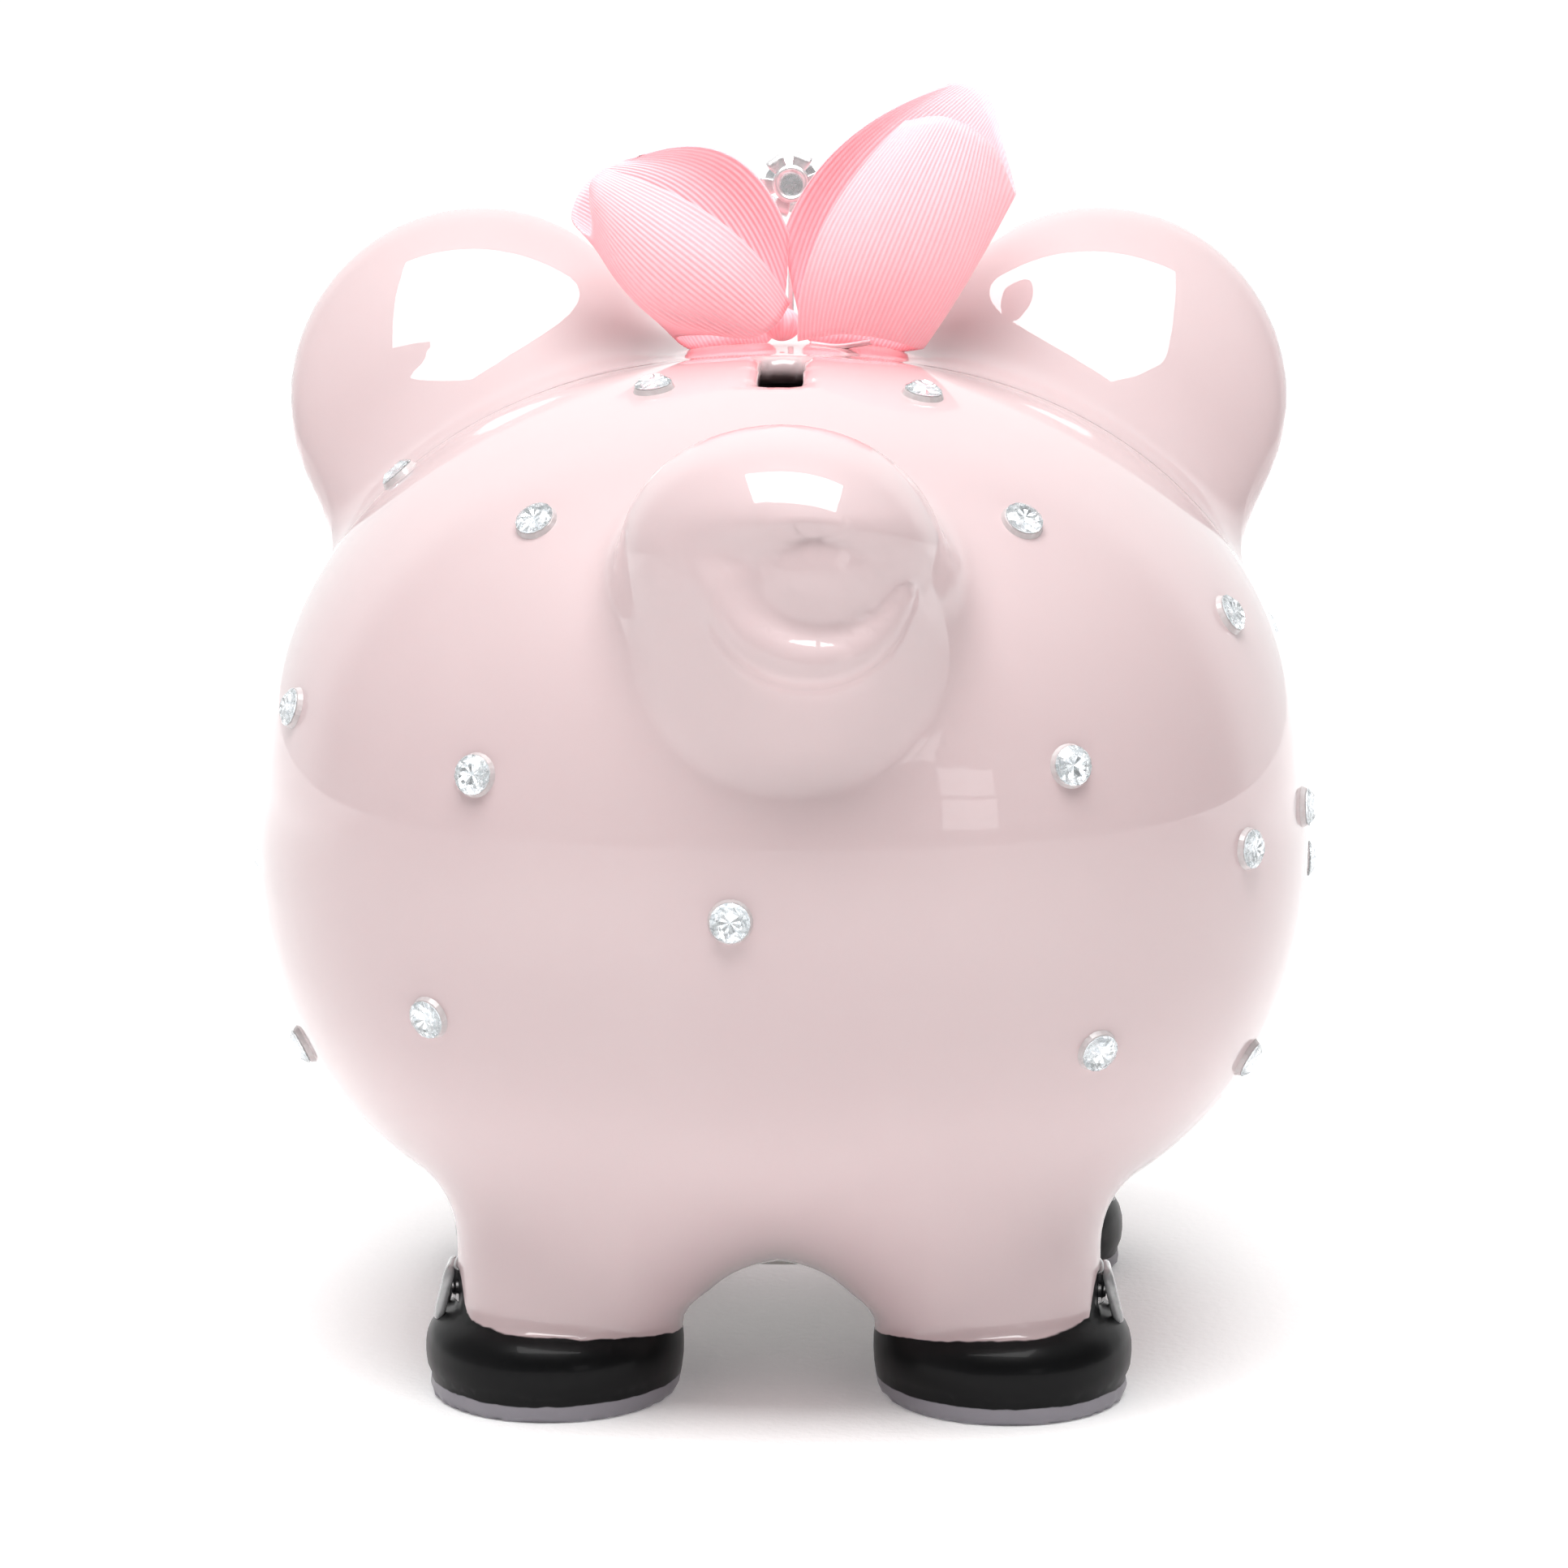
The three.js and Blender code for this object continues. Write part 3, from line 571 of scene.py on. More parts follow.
def smooth_line(points: Sequence[Sequence[float]], count: int) -> Array:
    """A Catmull-Rom curve through points, sampled evenly in its parameter.

    Args:
        points: the points that it passes through.
        count: number of samples.

    Returns:
        The samples.
    """
    knots = np.asarray(points, float)
    ends = np.vstack([2 * knots[0] - knots[1], knots, 2 * knots[-1] - knots[-2]])
    place = np.linspace(0, len(knots) - 1, count)
    span = np.minimum(place.astype(int), len(knots) - 2)
    t = (place - span)[:, None]
    a, b, c, d = (ends[span + i] for i in range(4))
    cubic = (3 * b - a - 3 * c + d) * t**3 + (2 * a - 5 * b + 4 * c - d) * t**2 + (c - a) * t
    return b + 0.5 * cubic


def place_piece(made: bpy.types.Object, slot: str, *nodes: str, body: str = BANK_BODY) -> bpy.types.Object:
    """Rides a piece on its body and hides the nodes that it stands for."""
    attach(made, body)
    if nodes:
        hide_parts(*nodes)
    return made


def stacked(*parts: Array) -> Array:
    """Coordinates that broadcast against each other, as rows of points."""
    return np.stack(np.broadcast_arrays(*parts), axis=-1)


def squared_ring(count: int, power: float) -> tuple[Array, Array]:
    """Cosine and sine round a ring, each to a power below 1, which makes the ring squarer."""
    s = np.arange(count) * TURN / count
    return tuple(np.sign(wave) * np.abs(wave) ** power for wave in (np.cos(s), np.sin(s)))


def node_middle(node: str) -> Array:
    """The middle of a CAD node's box."""
    low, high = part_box(node)
    return (np.array(low) + np.array(high)) / 2


# ---------------------------------------------------------------------------- solid arithmetic
def soft_min(a: Array, b: Array, reach: Array | float) -> Array:
    """Union of two solids' distances, filleted over a reach."""
    blend = np.maximum(reach - np.abs(a - b), 0.0) / reach
    return np.minimum(a, b) - blend * blend * reach / 4


def soft_max(a: Array, b: Array, reach: float) -> Array:
    """Intersection of two solids' distances, rounded over a reach."""
    return -soft_min(-a, -b, reach)


def ellipsoid(x: Array, y: Array, z: Array, half: Sequence[float | Array]) -> Array:
    """Near distance to an ellipsoid: k (k - 1) / |p / half^2|, where k = |p / half|."""
    scaled = np.sqrt((x / half[0]) ** 2 + (y / half[1]) ** 2 + (z / half[2]) ** 2)
    slope = np.sqrt((x / half[0] ** 2) ** 2 + (y / half[1] ** 2) ** 2 + (z / half[2] ** 2) ** 2)
    return scaled * (scaled - 1) / np.maximum(slope, 1e-9)


def power_ball(x: Array, y: Array, z: Array, half: Sequence[float | Array], power: float) -> Array:
    """Distance along the ray to a superellipsoid: |p| (1 - s^(-1/power)), s = sum |p / half|^power."""
    total = sum(np.abs(v / h) ** power for v, h in zip((x, y, z), half))
    size = np.sqrt(x * x + y * y + z * z)
    return size * (1 - np.maximum(total, 1e-12) ** (-1 / power))


# ---------------------------------------------------------------------------- casting
@dataclass
class Casting:
    """The slip-cast shape as signed distances in millimetres, negative inside the clay.

    Every part is a formula of the point, and the parts are joined by filleted unions, so one
    surface runs from the belly into the ears, legs, snout and tail.
    """

    middle_y: float
    half: tuple[float, float] = (88.0, 88.0)
    rise: float = 80.0
    drop: float = 70.0
    power: float = 2.3
    belly_z: float = 86.0
    wall: float = 4.5
    ear_place: tuple[float, float, float] = (55.0, 30.0, 159.0)
    ear_radius: float = 32.5
    ear_tall: float = 35.0
    ear_tilt_deg: float = 24.0
    ear_back: float = 11.5
    ear_front: float = 8.0
    ear_fillet: float = 15.0
    forehead_y: float = 26.0
    forehead_top: float = 167.8
    leg_spread: tuple[float, float] = (34.0, 38.0)
    leg_stance: float = 41.0
    leg_radius: float = 18.0
    inner_fillet: float = 21.0
    outer_fillet: float = 8.0
    shoe_radius: float = 20.8
    shoe_offset: float = 2.4
    shoe_top: float = 14.4
    heel_stretch: float = 1.08
    toe_stretch: float = 1.25
    sole_height: float = 3.0
    snout_half: tuple[float, float] = (25.0, 21.0)
    snout_front: float = 103.0
    snout_z: float = 90.0
    tail_place: tuple[float, float] = (2.5, 133.0)
    tail_lean_deg: float = 22.0
    crease: tuple[float, float] = (203.0, 333.0)
    tail_radius: float = 24.0
    slot_half: tuple[float, float] = (3.5, 13.5)
    slot_corner: float = 2.0
    slot_y: float = -20.5
    hole_radius: float = 18.0
    seat_radius: float = 23.0
    seat_z: float = 17.8

    def reach(self, direction: Array) -> Array:
        """Distance from the belly's centre to its surface along unit rows."""
        half_z = np.where(direction[:, 2] > 0, self.rise, self.drop)
        total = (
            np.abs(direction[:, 0] / self.half[0]) ** self.power
            + np.abs(direction[:, 1] / self.half[1]) ** self.power
            + np.abs(direction[:, 2] / half_z) ** self.power
        )
        return total ** (-1 / self.power)

    def belly(self, x: Array, y: Array, z: Array, inset: float = 0.0) -> Array:
        """The rounded belly, or the space inside it when inset is the wall."""
        up = z - self.belly_z
        half_z = np.where(up > 0, self.rise, self.drop) - inset
        return power_ball(x, y, up, (self.half[0] - inset, self.half[1] - inset, half_z), self.power)

    def ears(self, x: Array, y: Array, z: Array) -> Array:
        """Two mirrored discs with rounded backs and dished fronts."""
        tilt = math.radians(self.ear_tilt_deg)
        across, dy, dz = np.abs(x) - self.ear_place[0], y - self.ear_place[1], z - self.ear_place[2]
        front = dy * math.cos(tilt) - dz * math.sin(tilt)
        up = dy * math.sin(tilt) + dz * math.cos(tilt)
        thick = np.where(front > 0, self.ear_front, self.ear_back)
        disc = ellipsoid(across, front, up, (self.ear_radius, thick, self.ear_tall))
        dish = ellipsoid(across, front - 10.0, up, (self.ear_radius - 7, 11.5, self.ear_tall - 7))
        return soft_max(disc, -dish, 4.0)

    def forehead(self, x: Array, y: Array, z: Array) -> Array:
        """A low swelling of the crown between the ears."""
        return ellipsoid(x, y - self.forehead_y, z - self.forehead_top + 40.0, (70.0, 50.0, 40.0))

    def leg_offsets(self, x: Array, y: Array, end: LegPair) -> tuple[Array, Array]:
        """Offsets from the axis of a leg of one pair, on either side."""
        stance = self.leg_stance if end else -self.leg_stance
        return np.abs(x) - self.leg_spread[end], y - stance

    def leg(self, x: Array, y: Array, z: Array, end: LegPair) -> Array:
        """A mirrored pair of columns that run up into the belly."""
        dx, dy = self.leg_offsets(x, y, end)
        column = np.hypot(dx, dy) - self.leg_radius
        return np.maximum(np.maximum(column, z - 60.0), 2.0 - z)

    def leg_fillet(self, x: Array, z: Array, end: LegPair) -> Array:
        """Fillet between a leg and the belly: wide under the arch, tight outside, none by the floor."""
        outer = np.clip(0.5 + (np.abs(x) - self.leg_spread[end]) / 20.0, 0.0, 1.0)
        fillet = self.inner_fillet + (self.outer_fillet - self.inner_fillet) * outer
        return fillet * np.clip(z / 16.0, 0.03, 1.0)

    def shoe_plan(self, x: Array, y: Array, end: LegPair) -> Array:
        """Distance from the shoe's middle in plan, with the toe and heel drawn in to a circle."""
        dx, dy = self.leg_offsets(x, y, end)
        stretch = np.where(dy > 0, self.toe_stretch, self.heel_stretch)
        return np.hypot(dx - self.shoe_offset, dy / stretch)

    def shoe(self, x: Array, y: Array, z: Array, end: LegPair) -> Array:
        """A rounded shoe on a thin flat sole."""
        plan = self.shoe_plan(x, y, end)
        middle = self.shoe_top / 2
        upper = power_ball(plan, np.zeros_like(z), z - middle, (self.shoe_radius, 1.0, middle + 1.5), 2.7)
        sole_edge = plan - self.shoe_radius + 0.7
        sole = soft_max(soft_max(sole_edge, z - self.sole_height, 1.4), -z, 1.2)
        return soft_min(soft_max(upper, 1.0 - z, 1.0), sole, 0.7)

    def snout(self, x: Array, y: Array, z: Array) -> Array:
        """An oval muzzle with a rounded rim and two nostrils."""
        dz = z - self.snout_z
        oval = np.hypot(x, dz * self.snout_half[0] / self.snout_half[1])
        depth = 24.0
        along = y - self.snout_front + depth
        muzzle = power_ball(oval, along, np.zeros_like(x), (self.snout_half[0], depth, 1.0), 5.0)
        nostrils = ellipsoid(np.abs(x) - 8.5, y - self.snout_front, dz, (3.6, 4.2, 5.8))
        return soft_max(muzzle, -nostrils, 2.4)

    def tail_axes(self, x: Array, y: Array, z: Array) -> tuple[Array, Array, Array]:
        """The point across, up and out along the tail's axis, from its root on the belly."""
        share = abs((self.tail_place[1] - self.belly_z) / self.rise) ** self.power
        root_y = -self.half[1] * (1 - share) ** (1 / self.power)
        lean = math.radians(self.tail_lean_deg)
        dy, dz = y - root_y, z - self.tail_place[1]
        out = -dy * math.cos(lean) + dz * math.sin(lean)
        up = dy * math.sin(lean) + dz * math.cos(lean)
        return x - self.tail_place[0], up, out

    def add_tail(self, body: Array, x: Array, y: Array, z: Array) -> Array:
        """Joins the mound, the shoulder, the rolled lip and the curled tip of the tail to the belly.

        The lip is a round roll along an arc below the tip. The crease between them is sharp
        along that arc and blended away round the rest of the tip.
        """
        across, up, out = self.tail_axes(x, y, z)
        mound = ellipsoid(across, up + 1.5, out + 1.0, (self.tail_radius, self.tail_radius, 16.8))
        body = soft_min(body, mound, 8.0)
        tip_x, tip_up = across - 3.8, up - 0.6
        blob = ellipsoid(tip_x + 1.2, tip_up + 2.6, out - 6.0, (16.4, 16.4, 13.0))
        body = soft_min(body, blob, 5.0)
        shoulder = ellipsoid(tip_x + 6.5, tip_up - 4.6, out - 4.0, (22.0, 17.5, 17.2))
        body = soft_min(body, shoulder, 6.0)
        angle = (np.degrees(np.arctan2(tip_up, tip_x)) - 90.0) % 360.0 + 90.0
        held = np.clip(angle, self.crease[0], self.crease[1])
        sweep = (held - self.crease[0]) / (self.crease[1] - self.crease[0])
        belly_of_lip = np.sin(math.pi * np.clip(sweep * 1.05, 0, 1))
        arc = 14.0 + 2.4 * belly_of_lip
        roll = 3.5 - 1.6 * sweep + 1.1 * belly_of_lip
        turn = np.radians(held)
        dx = tip_x - arc * np.cos(turn)
        du = tip_up - arc * np.sin(turn)
        lip = np.sqrt(dx * dx + du * du + (out - 16.2 + 2.8 * sweep + roll * 0.2) ** 2) - roll
        body = soft_min(body, lip, 2.6)
        tip = ellipsoid(tip_x, tip_up, out - 10.0, (14.2, 13.6, 12.8))
        beyond = np.maximum(self.crease[0] - angle, angle - self.crease[1])
        blend = np.clip(beyond / 40.0, 0.0, 1.0)
        return soft_min(body, tip, 0.5 + 11.0 * blend * blend * (3 - 2 * blend))

    def cavity(self, x: Array, y: Array, z: Array) -> Array:
        """The hollow inside the belly and down the legs."""
        space = self.belly(x, y, z, self.wall)
        for end in LegPair:
            dx, dy = self.leg_offsets(x, y, end)
            space = soft_min(space, ellipsoid(dx, dy, z - 35.0, (11.0, 11.0, 27.0)), 4.0)
        return space

    def distance(self, points: Array) -> Array:
        """Signed distance of points to the finished hollow casting.

        Args:
            points: rows of x, y, z in millimetres.

        Returns:
            One distance for each row.
        """
        x, y, z = points[..., 0], points[..., 1] - self.middle_y, points[..., 2]
        body = self.belly(x, y, z)
        body = soft_min(body, self.forehead(x, y, z), 5.0)
        body = soft_min(body, self.ears(x, y, z), self.ear_fillet)
        body = soft_min(body, self.snout(x, y, z), 8.0)
        body = self.add_tail(body, x, y, z)
        for end in LegPair:
            limb = soft_min(self.leg(x, y, z, end), self.shoe(x, y, z, end), 1.6)
            body = soft_min(body, limb, self.leg_fillet(x, z, end))
        corner = self.slot_corner
        slot_x = np.maximum(np.abs(x) - self.slot_half[0] + corner, 0.0)
        slot_y = np.maximum(np.abs(y - self.slot_y) - self.slot_half[1] + corner, 0.0)
        slot = np.maximum(np.hypot(slot_x, slot_y) - corner, 140.0 - z)
        body = soft_max(body, -slot, 1.8)
        around = np.hypot(x, y)
        body = soft_max(body, -np.maximum(around - self.seat_radius, z - self.seat_z), 0.8)
        body = soft_max(body, -np.maximum(around - self.hole_radius, z - 60.0), 0.8)
        return np.maximum(body, -self.cavity(x, y, z))

    def shoe_reach(self, points: Array) -> Array:
        """How far a point lies inside the black shoe glaze, in millimetres.

        The glaze line runs low round the heel and rises to the buckle on the outer side, and the
        toe is covered up to the ankle.
        """
        x, y, z = points[:, 0], points[:, 1] - self.middle_y, points[:, 2]
        covered = np.full(len(points), -1e3)
        for end in LegPair:
            dx, dy = self.leg_offsets(x, y, end)
            outward = np.degrees(np.arctan2(dy, dx))
            tab = 6.0 / (1 + np.exp((np.abs(outward) - 24.0) / 2.0))
            rise = 1.3 * np.exp(-((outward / 60.0) ** 2))
            inward = np.clip((np.abs(outward) - 90.0) / 90.0, 0.0, 1.0)
            line = 13.3 + tab + rise - 3.2 * inward + 0.25 * np.cos(np.radians(3 * outward + 40))
            toe = np.minimum(np.hypot(dx, dy) - self.leg_radius - 0.9, self.shoe_top + 2.5 - z)
            toe = np.where(dy > 2.0, toe, -1e3)
            side = np.maximum(line - z, toe)
            near = self.shoe_radius + 6.0 - self.shoe_plan(x, y, end)
            covered = np.maximum(covered, np.minimum(side, near))
        return covered

    def sole_reach(self, points: Array) -> Array:
        """How far a point lies inside the grey sole glaze, in millimetres."""
        return self.sole_height - 0.2 - points[:, 2]


@dataclass
class SurfaceNet:
    """Finds the surface of a distance formula on a box grid and settles its points on it."""

    distance: Callable[[Array], Array]
    low: Sequence[float]
    high: Sequence[float]
    step: float
    rounds: int = 3

    def sample(self) -> tuple[list[Array], Array]:
        """Distances at the grid's nodes, worked out only near the surface.

        A coarse grid is measured first, and a fine node is measured only where the coarse nodes
        round it lie within two coarse steps of the surface.

        Returns:
            The three axes' positions, and the distances on their grid.
        """
        ratio = 4
        counts = [int((b - a) / (self.step * ratio)) + 2 for a, b in zip(self.low, self.high)]
        axes = [a + self.step * np.arange((n - 1) * ratio + 1) for a, n in zip(self.low, counts)]
        coarse_points = np.stack(np.meshgrid(*[a[::ratio] for a in axes], indexing="ij"), axis=-1)
        coarse = self.distance(coarse_points)
        near = np.abs(coarse) < 2.6 * ratio * self.step
        blocks = near[:-1, :-1, :-1].copy()
        for corner in product((0, 1), repeat=3):
            blocks |= near[tuple(slice(d, d + n - 1) for d, n in zip(corner, counts))]
        wanted = np.zeros([len(a) for a in axes], bool)
        cells = np.repeat(np.repeat(np.repeat(blocks, ratio, 0), ratio, 1), ratio, 2)
        for corner in product((slice(None, -1), slice(1, None)), repeat=3):
            wanted[corner] |= cells
        nearest = [np.minimum(np.arange(len(a)) // ratio, n - 1) for a, n in zip(axes, counts)]
        values = coarse[np.ix_(*nearest)]
        i, j, k = np.nonzero(wanted)
        fine_points = np.stack([axes[0][i], axes[1][j], axes[2][k]], axis=1)
        values[i, j, k] = self.distance(fine_points)
        return axes, values

    def net(self) -> tuple[Array, NDArray[np.int64]]:
        """One point for each grid cell that the surface crosses, and a quad for each crossed edge.

        A cell's point is the mean of where the surface cuts the cell's edges.

        Returns:
            Points and quads that face out of the solid.
        """
        axes, values = self.sample()
        inside = values < 0
        shape = np.array(values.shape) - 1
        count = np.zeros(shape)
        total = np.zeros((*shape, 3))
        crossings = []
        for axis in range(3):
            first = [slice(None)] * 3
            second = [slice(None)] * 3
            first[axis], second[axis] = slice(0, -1), slice(1, None)
            a, b = values[tuple(first)], values[tuple(second)]
            crossed = inside[tuple(first)] != inside[tuple(second)]
            cut = np.nonzero(crossed)
            share = a[cut] / (a[cut] - b[cut])
            at = np.stack([axes[n][cut[n]] for n in range(3)], axis=1)
            at[:, axis] += share * self.step
            crossings.append((cut, inside[tuple(first)][cut]))
            others = [n for n in range(3) if n != axis]
            for shifts in product((0, 1), repeat=2):
                cell = [c.copy() for c in cut]
                valid = np.ones(len(at), bool)
                for other, shift in zip(others, shifts):
                    cell[other] -= shift
                    valid &= (cell[other] >= 0) & (cell[other] < shape[other])
                spot = tuple(c[valid] for c in cell)
                np.add.at(count, spot, 1.0)
                np.add.at(total, spot, at[valid])
        active = count > 0
        number = np.full(shape, -1)
        number[active] = np.arange(int(active.sum()))
        points = total[active] / count[active][:, None]
        quads = []
        for axis, (cut, outward) in enumerate(crossings):
            u, v = (axis + 1) % 3, (axis + 2) % 3
            corners = []
            for du, dv in ((1, 1), (0, 1), (0, 0), (1, 0)):
                cell = [c.copy() for c in cut]
                cell[u] -= du
                cell[v] -= dv
                corners.append(number[tuple(cell)])
            quad = np.stack(corners, axis=1)
            quads.append(np.where(outward[:, None], quad, quad[:, ::-1]))
        return points, np.concatenate(quads)

    def slope(self, points: Array, values: Array) -> Array:
        """Gradient of the distance by forward differences."""
        nudge = 0.02
        moved = [self.distance(points + nudge * np.eye(3)[n]) for n in range(3)]
        return np.stack([(m - values) / nudge for m in moved], axis=1)

    def surface(self) -> tuple[Array, NDArray[np.int64]]:
        """The net with its points evened out along the surface and settled on it.

        Each round moves a point towards the mean of its neighbours, less the part of the move
        that leaves the surface, then takes one Newton step, p - d g / |g|^2.

        Returns:
            Points and quads.
        """
        points, quads = self.net()
        ends = np.concatenate([quads[:, [0, 1]], quads[:, [1, 2]], quads[:, [2, 3]], quads[:, [3, 0]]])
        tally = np.bincount(ends[:, 0], minlength=len(points)).astype(float)
        for turn in range(self.rounds):
            values = self.distance(points)
            slope = self.slope(points, values)
            steep = np.maximum((slope**2).sum(1), 1e-6)
            push = -(values / steep)[:, None] * slope
            push *= np.minimum(1.0, self.step / np.maximum(np.linalg.norm(push, axis=1), 1e-9))[:, None]
            points = points + push
            if turn < self.rounds - 1:
                mean = np.stack(
                    [np.bincount(ends[:, 0], points[ends[:, 1], n], len(points)) for n in range(3)], axis=1
                )
                drift = mean / tally[:, None] - points
                normal = slope / np.sqrt(steep)[:, None]
                drift -= (drift * normal).sum(1)[:, None] * normal
                points = points + 0.5 * drift
        return points, quads


@dataclass(frozen=True)
class PaintedFace:
    """Where the glaze painter puts the eyes and cheeks, in metres."""

    eye_place: tuple[float, float] = (0.0245, 0.1215)
    eye_half: tuple[float, float] = (0.0058, 0.0084)
    spark_shift: tuple[float, float] = (0.0018, 0.0032)
    spark_radius: float = 0.0019
    cheek_place: tuple[float, float] = (0.046, 0.090)
    cheek_radius: float = 0.013

    def paint(self, shader: Shader, colour: Wire, glaze: GlazeFinish) -> Wire:
        """Paints cheeks, eyes and their sparks on the front of the casting.

        Args:
            shader: the glaze's shader.
            colour: the glaze under the paint.
            glaze: the paint colours.

        Returns:
            The painted colour.
        """
        x, y, z = shader.axes()
        side = abs(x)
        front = y.step(0.05, 0.052)
        cheek = self.ellipse(side, z, self.cheek_place, (self.cheek_radius, self.cheek_radius))
        colour = shader.mix(front * (1.0 - cheek.step(0.0, 1.0)) * 0.55, colour, glaze.blush)
        eye = self.ellipse(side, z, self.eye_place, self.eye_half)
        colour = shader.mix(front * (1.0 - eye.step(0.97, 1.03)), colour, glaze.eye_black)
        spark_at = tuple(a + b for a, b in zip(self.eye_place, self.spark_shift))
        spark = self.ellipse(side, z, spark_at, (self.spark_radius, self.spark_radius))
        return shader.mix(front * (1.0 - spark.step(0.9, 1.05)), colour, glaze.eye_white)

    @staticmethod
    def ellipse(x: Wire, z: Wire, place: Sequence[float], half: Sequence[float]) -> Wire:
        """Distance from an ellipse's centre in units of its half sizes."""
        dx, dz = (x - place[0]) / half[0], (z - place[1]) / half[1]
        return (dx * dx + dz * dz).math("SQRT")


@dataclass
class CeramicPig:
    """The glazed casting and the raised straps and buckles of its shoes."""

    casting: Casting
    glaze: GlazeFinish = field(default_factory=GlazeFinish)
    face: PaintedFace = field(default_factory=PaintedFace)
    step: float = 1.8
    strap_low: float = 15.2
    strap_high: float = 20.8
    buckle_size: float = 9.4
    buckle_bar: float = 1.7

    def build(self) -> list[bpy.types.Object]:
        """Builds the shell, then the four straps and buckles."""
        low, high = (np.array(corner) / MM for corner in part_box("ceramic_body"))
        margin = 3.1
        net = SurfaceNet(self.casting.distance, low - margin, high + margin, self.step)
        points, quads = net.surface()
        shell = new_mesh_object("glazed_shell", points * MM, [quads], [self.glaze.build(self.face)])
        for reach in (self.casting.shoe_reach, self.casting.sole_reach):
            layer = shell.data.attributes.new(reach.__name__, "FLOAT", "POINT")
            layer.data.foreach_set("value", np.clip(reach(points), -50, 50))
        made = [place_piece(shell, "glazed_ceramic", "ceramic_body")]
        black = ReliefFinish("black_strap_glaze", self.glaze.shoe_black, (0.012, 0.012, 0.013)).build()
        grey = ReliefFinish("grey_buckle_glaze", (0.46, 0.465, 0.47), (0.34, 0.345, 0.35)).build()
        for end, (side, hand) in product(LegPair, ((-1, "left"), (1, "right"))):
            place = end.name.lower()
            made.append(self.strap(f"shoe_strap_{place}_{hand}", side, end, black))
            made.append(self.buckle(f"shoe_buckle_{place}_{hand}", side, end, grey))
        return made

    def leg_axis(self, side: int, end: LegPair) -> Array:
        """Where a leg's axis meets the floor, in millimetres."""
        stance = self.casting.leg_stance if end else -self.casting.leg_stance
        return np.array([side * self.casting.leg_spread[end], stance + self.casting.middle_y, 0.0])

    def strap(self, name: str, side: int, end: LegPair, glaze: bpy.types.Material) -> bpy.types.Object:
        """A raised band round the front of the ankle, from the buckle to the inner side.

        A rounded-oblong section is carried round the ankle: radius = ankle + relief cos s, height
        = middle + half height sin s, and the middle rises over the instep.
        """
        around, section = 72, 16
        sweep = np.linspace(math.radians(-16), math.radians(196), around)
        squared = squared_ring(section, 0.6)
        taper = np.minimum(1.0, np.minimum(sweep - sweep[0], sweep[-1] - sweep) / 0.12 + 0.02)
        radius = self.casting.leg_radius + 0.1 + 0.95 * taper[:, None] * squared[0][None]
        middle = (self.strap_low + self.strap_high) / 2 + 0.8 * np.sin(sweep)
        height = middle[:, None] + 0.5 * (self.strap_high - self.strap_low) * squared[1][None]
        x = side * np.cos(sweep)[:, None] * radius
        y = np.sin(sweep)[:, None] * radius
        points = stacked(x, y, height).reshape(-1, 3) + self.leg_axis(side, end)
        quads = grid_quads(around, section, False, True)
        caps = np.stack([np.arange(section), (around - 1) * section + np.arange(section)[::-1]])
        if side > 0:
            quads = quads[:, ::-1]
            caps = caps[:, ::-1]
        strap = new_mesh_object(name, points * MM, [quads, caps], [glaze])
        return place_piece(strap, "glazed_ceramic")

    def buckle(self, name: str, side: int, end: LegPair, glaze: bpy.types.Material) -> bpy.types.Object:
        """A raised square ring with a centre bar on the shoe's outer side.

        The ring's bar section is a circle flattened to a soft square, carried round a square with
        rounded corners, and the centre bar is the same section along a short line.
        """
        around, section = 64, 12
        t = np.arange(around) * TURN / around
        reach = (np.abs(np.cos(t)) ** 6 + np.abs(np.sin(t)) ** 6) ** (-1 / 6)
        half = self.buckle_size / 2 - self.buckle_bar / 2
        path = np.stack([np.cos(t) * reach, np.sin(t) * reach], axis=1) * half
        s = np.arange(section) * TURN / section
        wide, tall = self.buckle_bar / 2, 0.9
        grow = 1 + wide / half * np.cos(s)
        ring = path[:, None, :] * grow[None, :, None]
        lift = np.broadcast_to(tall * np.sin(s), ring.shape[:2])
        local = np.concatenate([ring, lift[..., None]], axis=-1).reshape(-1, 3)
        bar_line = np.linspace(-half, half, 9)
        bar_section = wide * 0.8 * np.cos(s)[None], 0.8 * tall * np.sin(s)[None]
        bar = stacked(bar_line[:, None], *bar_section).reshape(-1, 3)
        tilt = math.radians(14)
        out = np.array([side * math.cos(tilt), 0.0, math.sin(tilt)])
        forward = np.array([0.0, float(side), 0.0])
        axes = np.stack([forward, np.cross(out, forward), out])
        centre = self.leg_axis(side, end) + np.array([side * (self.casting.leg_radius + 1.9), 0.0, 16.2])
        points = np.concatenate([local, bar]) @ axes + centre
        ring_quads = grid_quads(around, section, True, True)
        bar_quads = grid_quads(len(bar_line), section, False, True) + around * section
        caps = np.stack([np.arange(section), (len(bar_line) - 1) * section + np.arange(section)[::-1]])
        faces = [np.concatenate([ring_quads, bar_quads]), caps + around * section]
        buckle = new_mesh_object(name, points * MM, faces, [glaze])
        return place_piece(buckle, "glazed_ceramic")


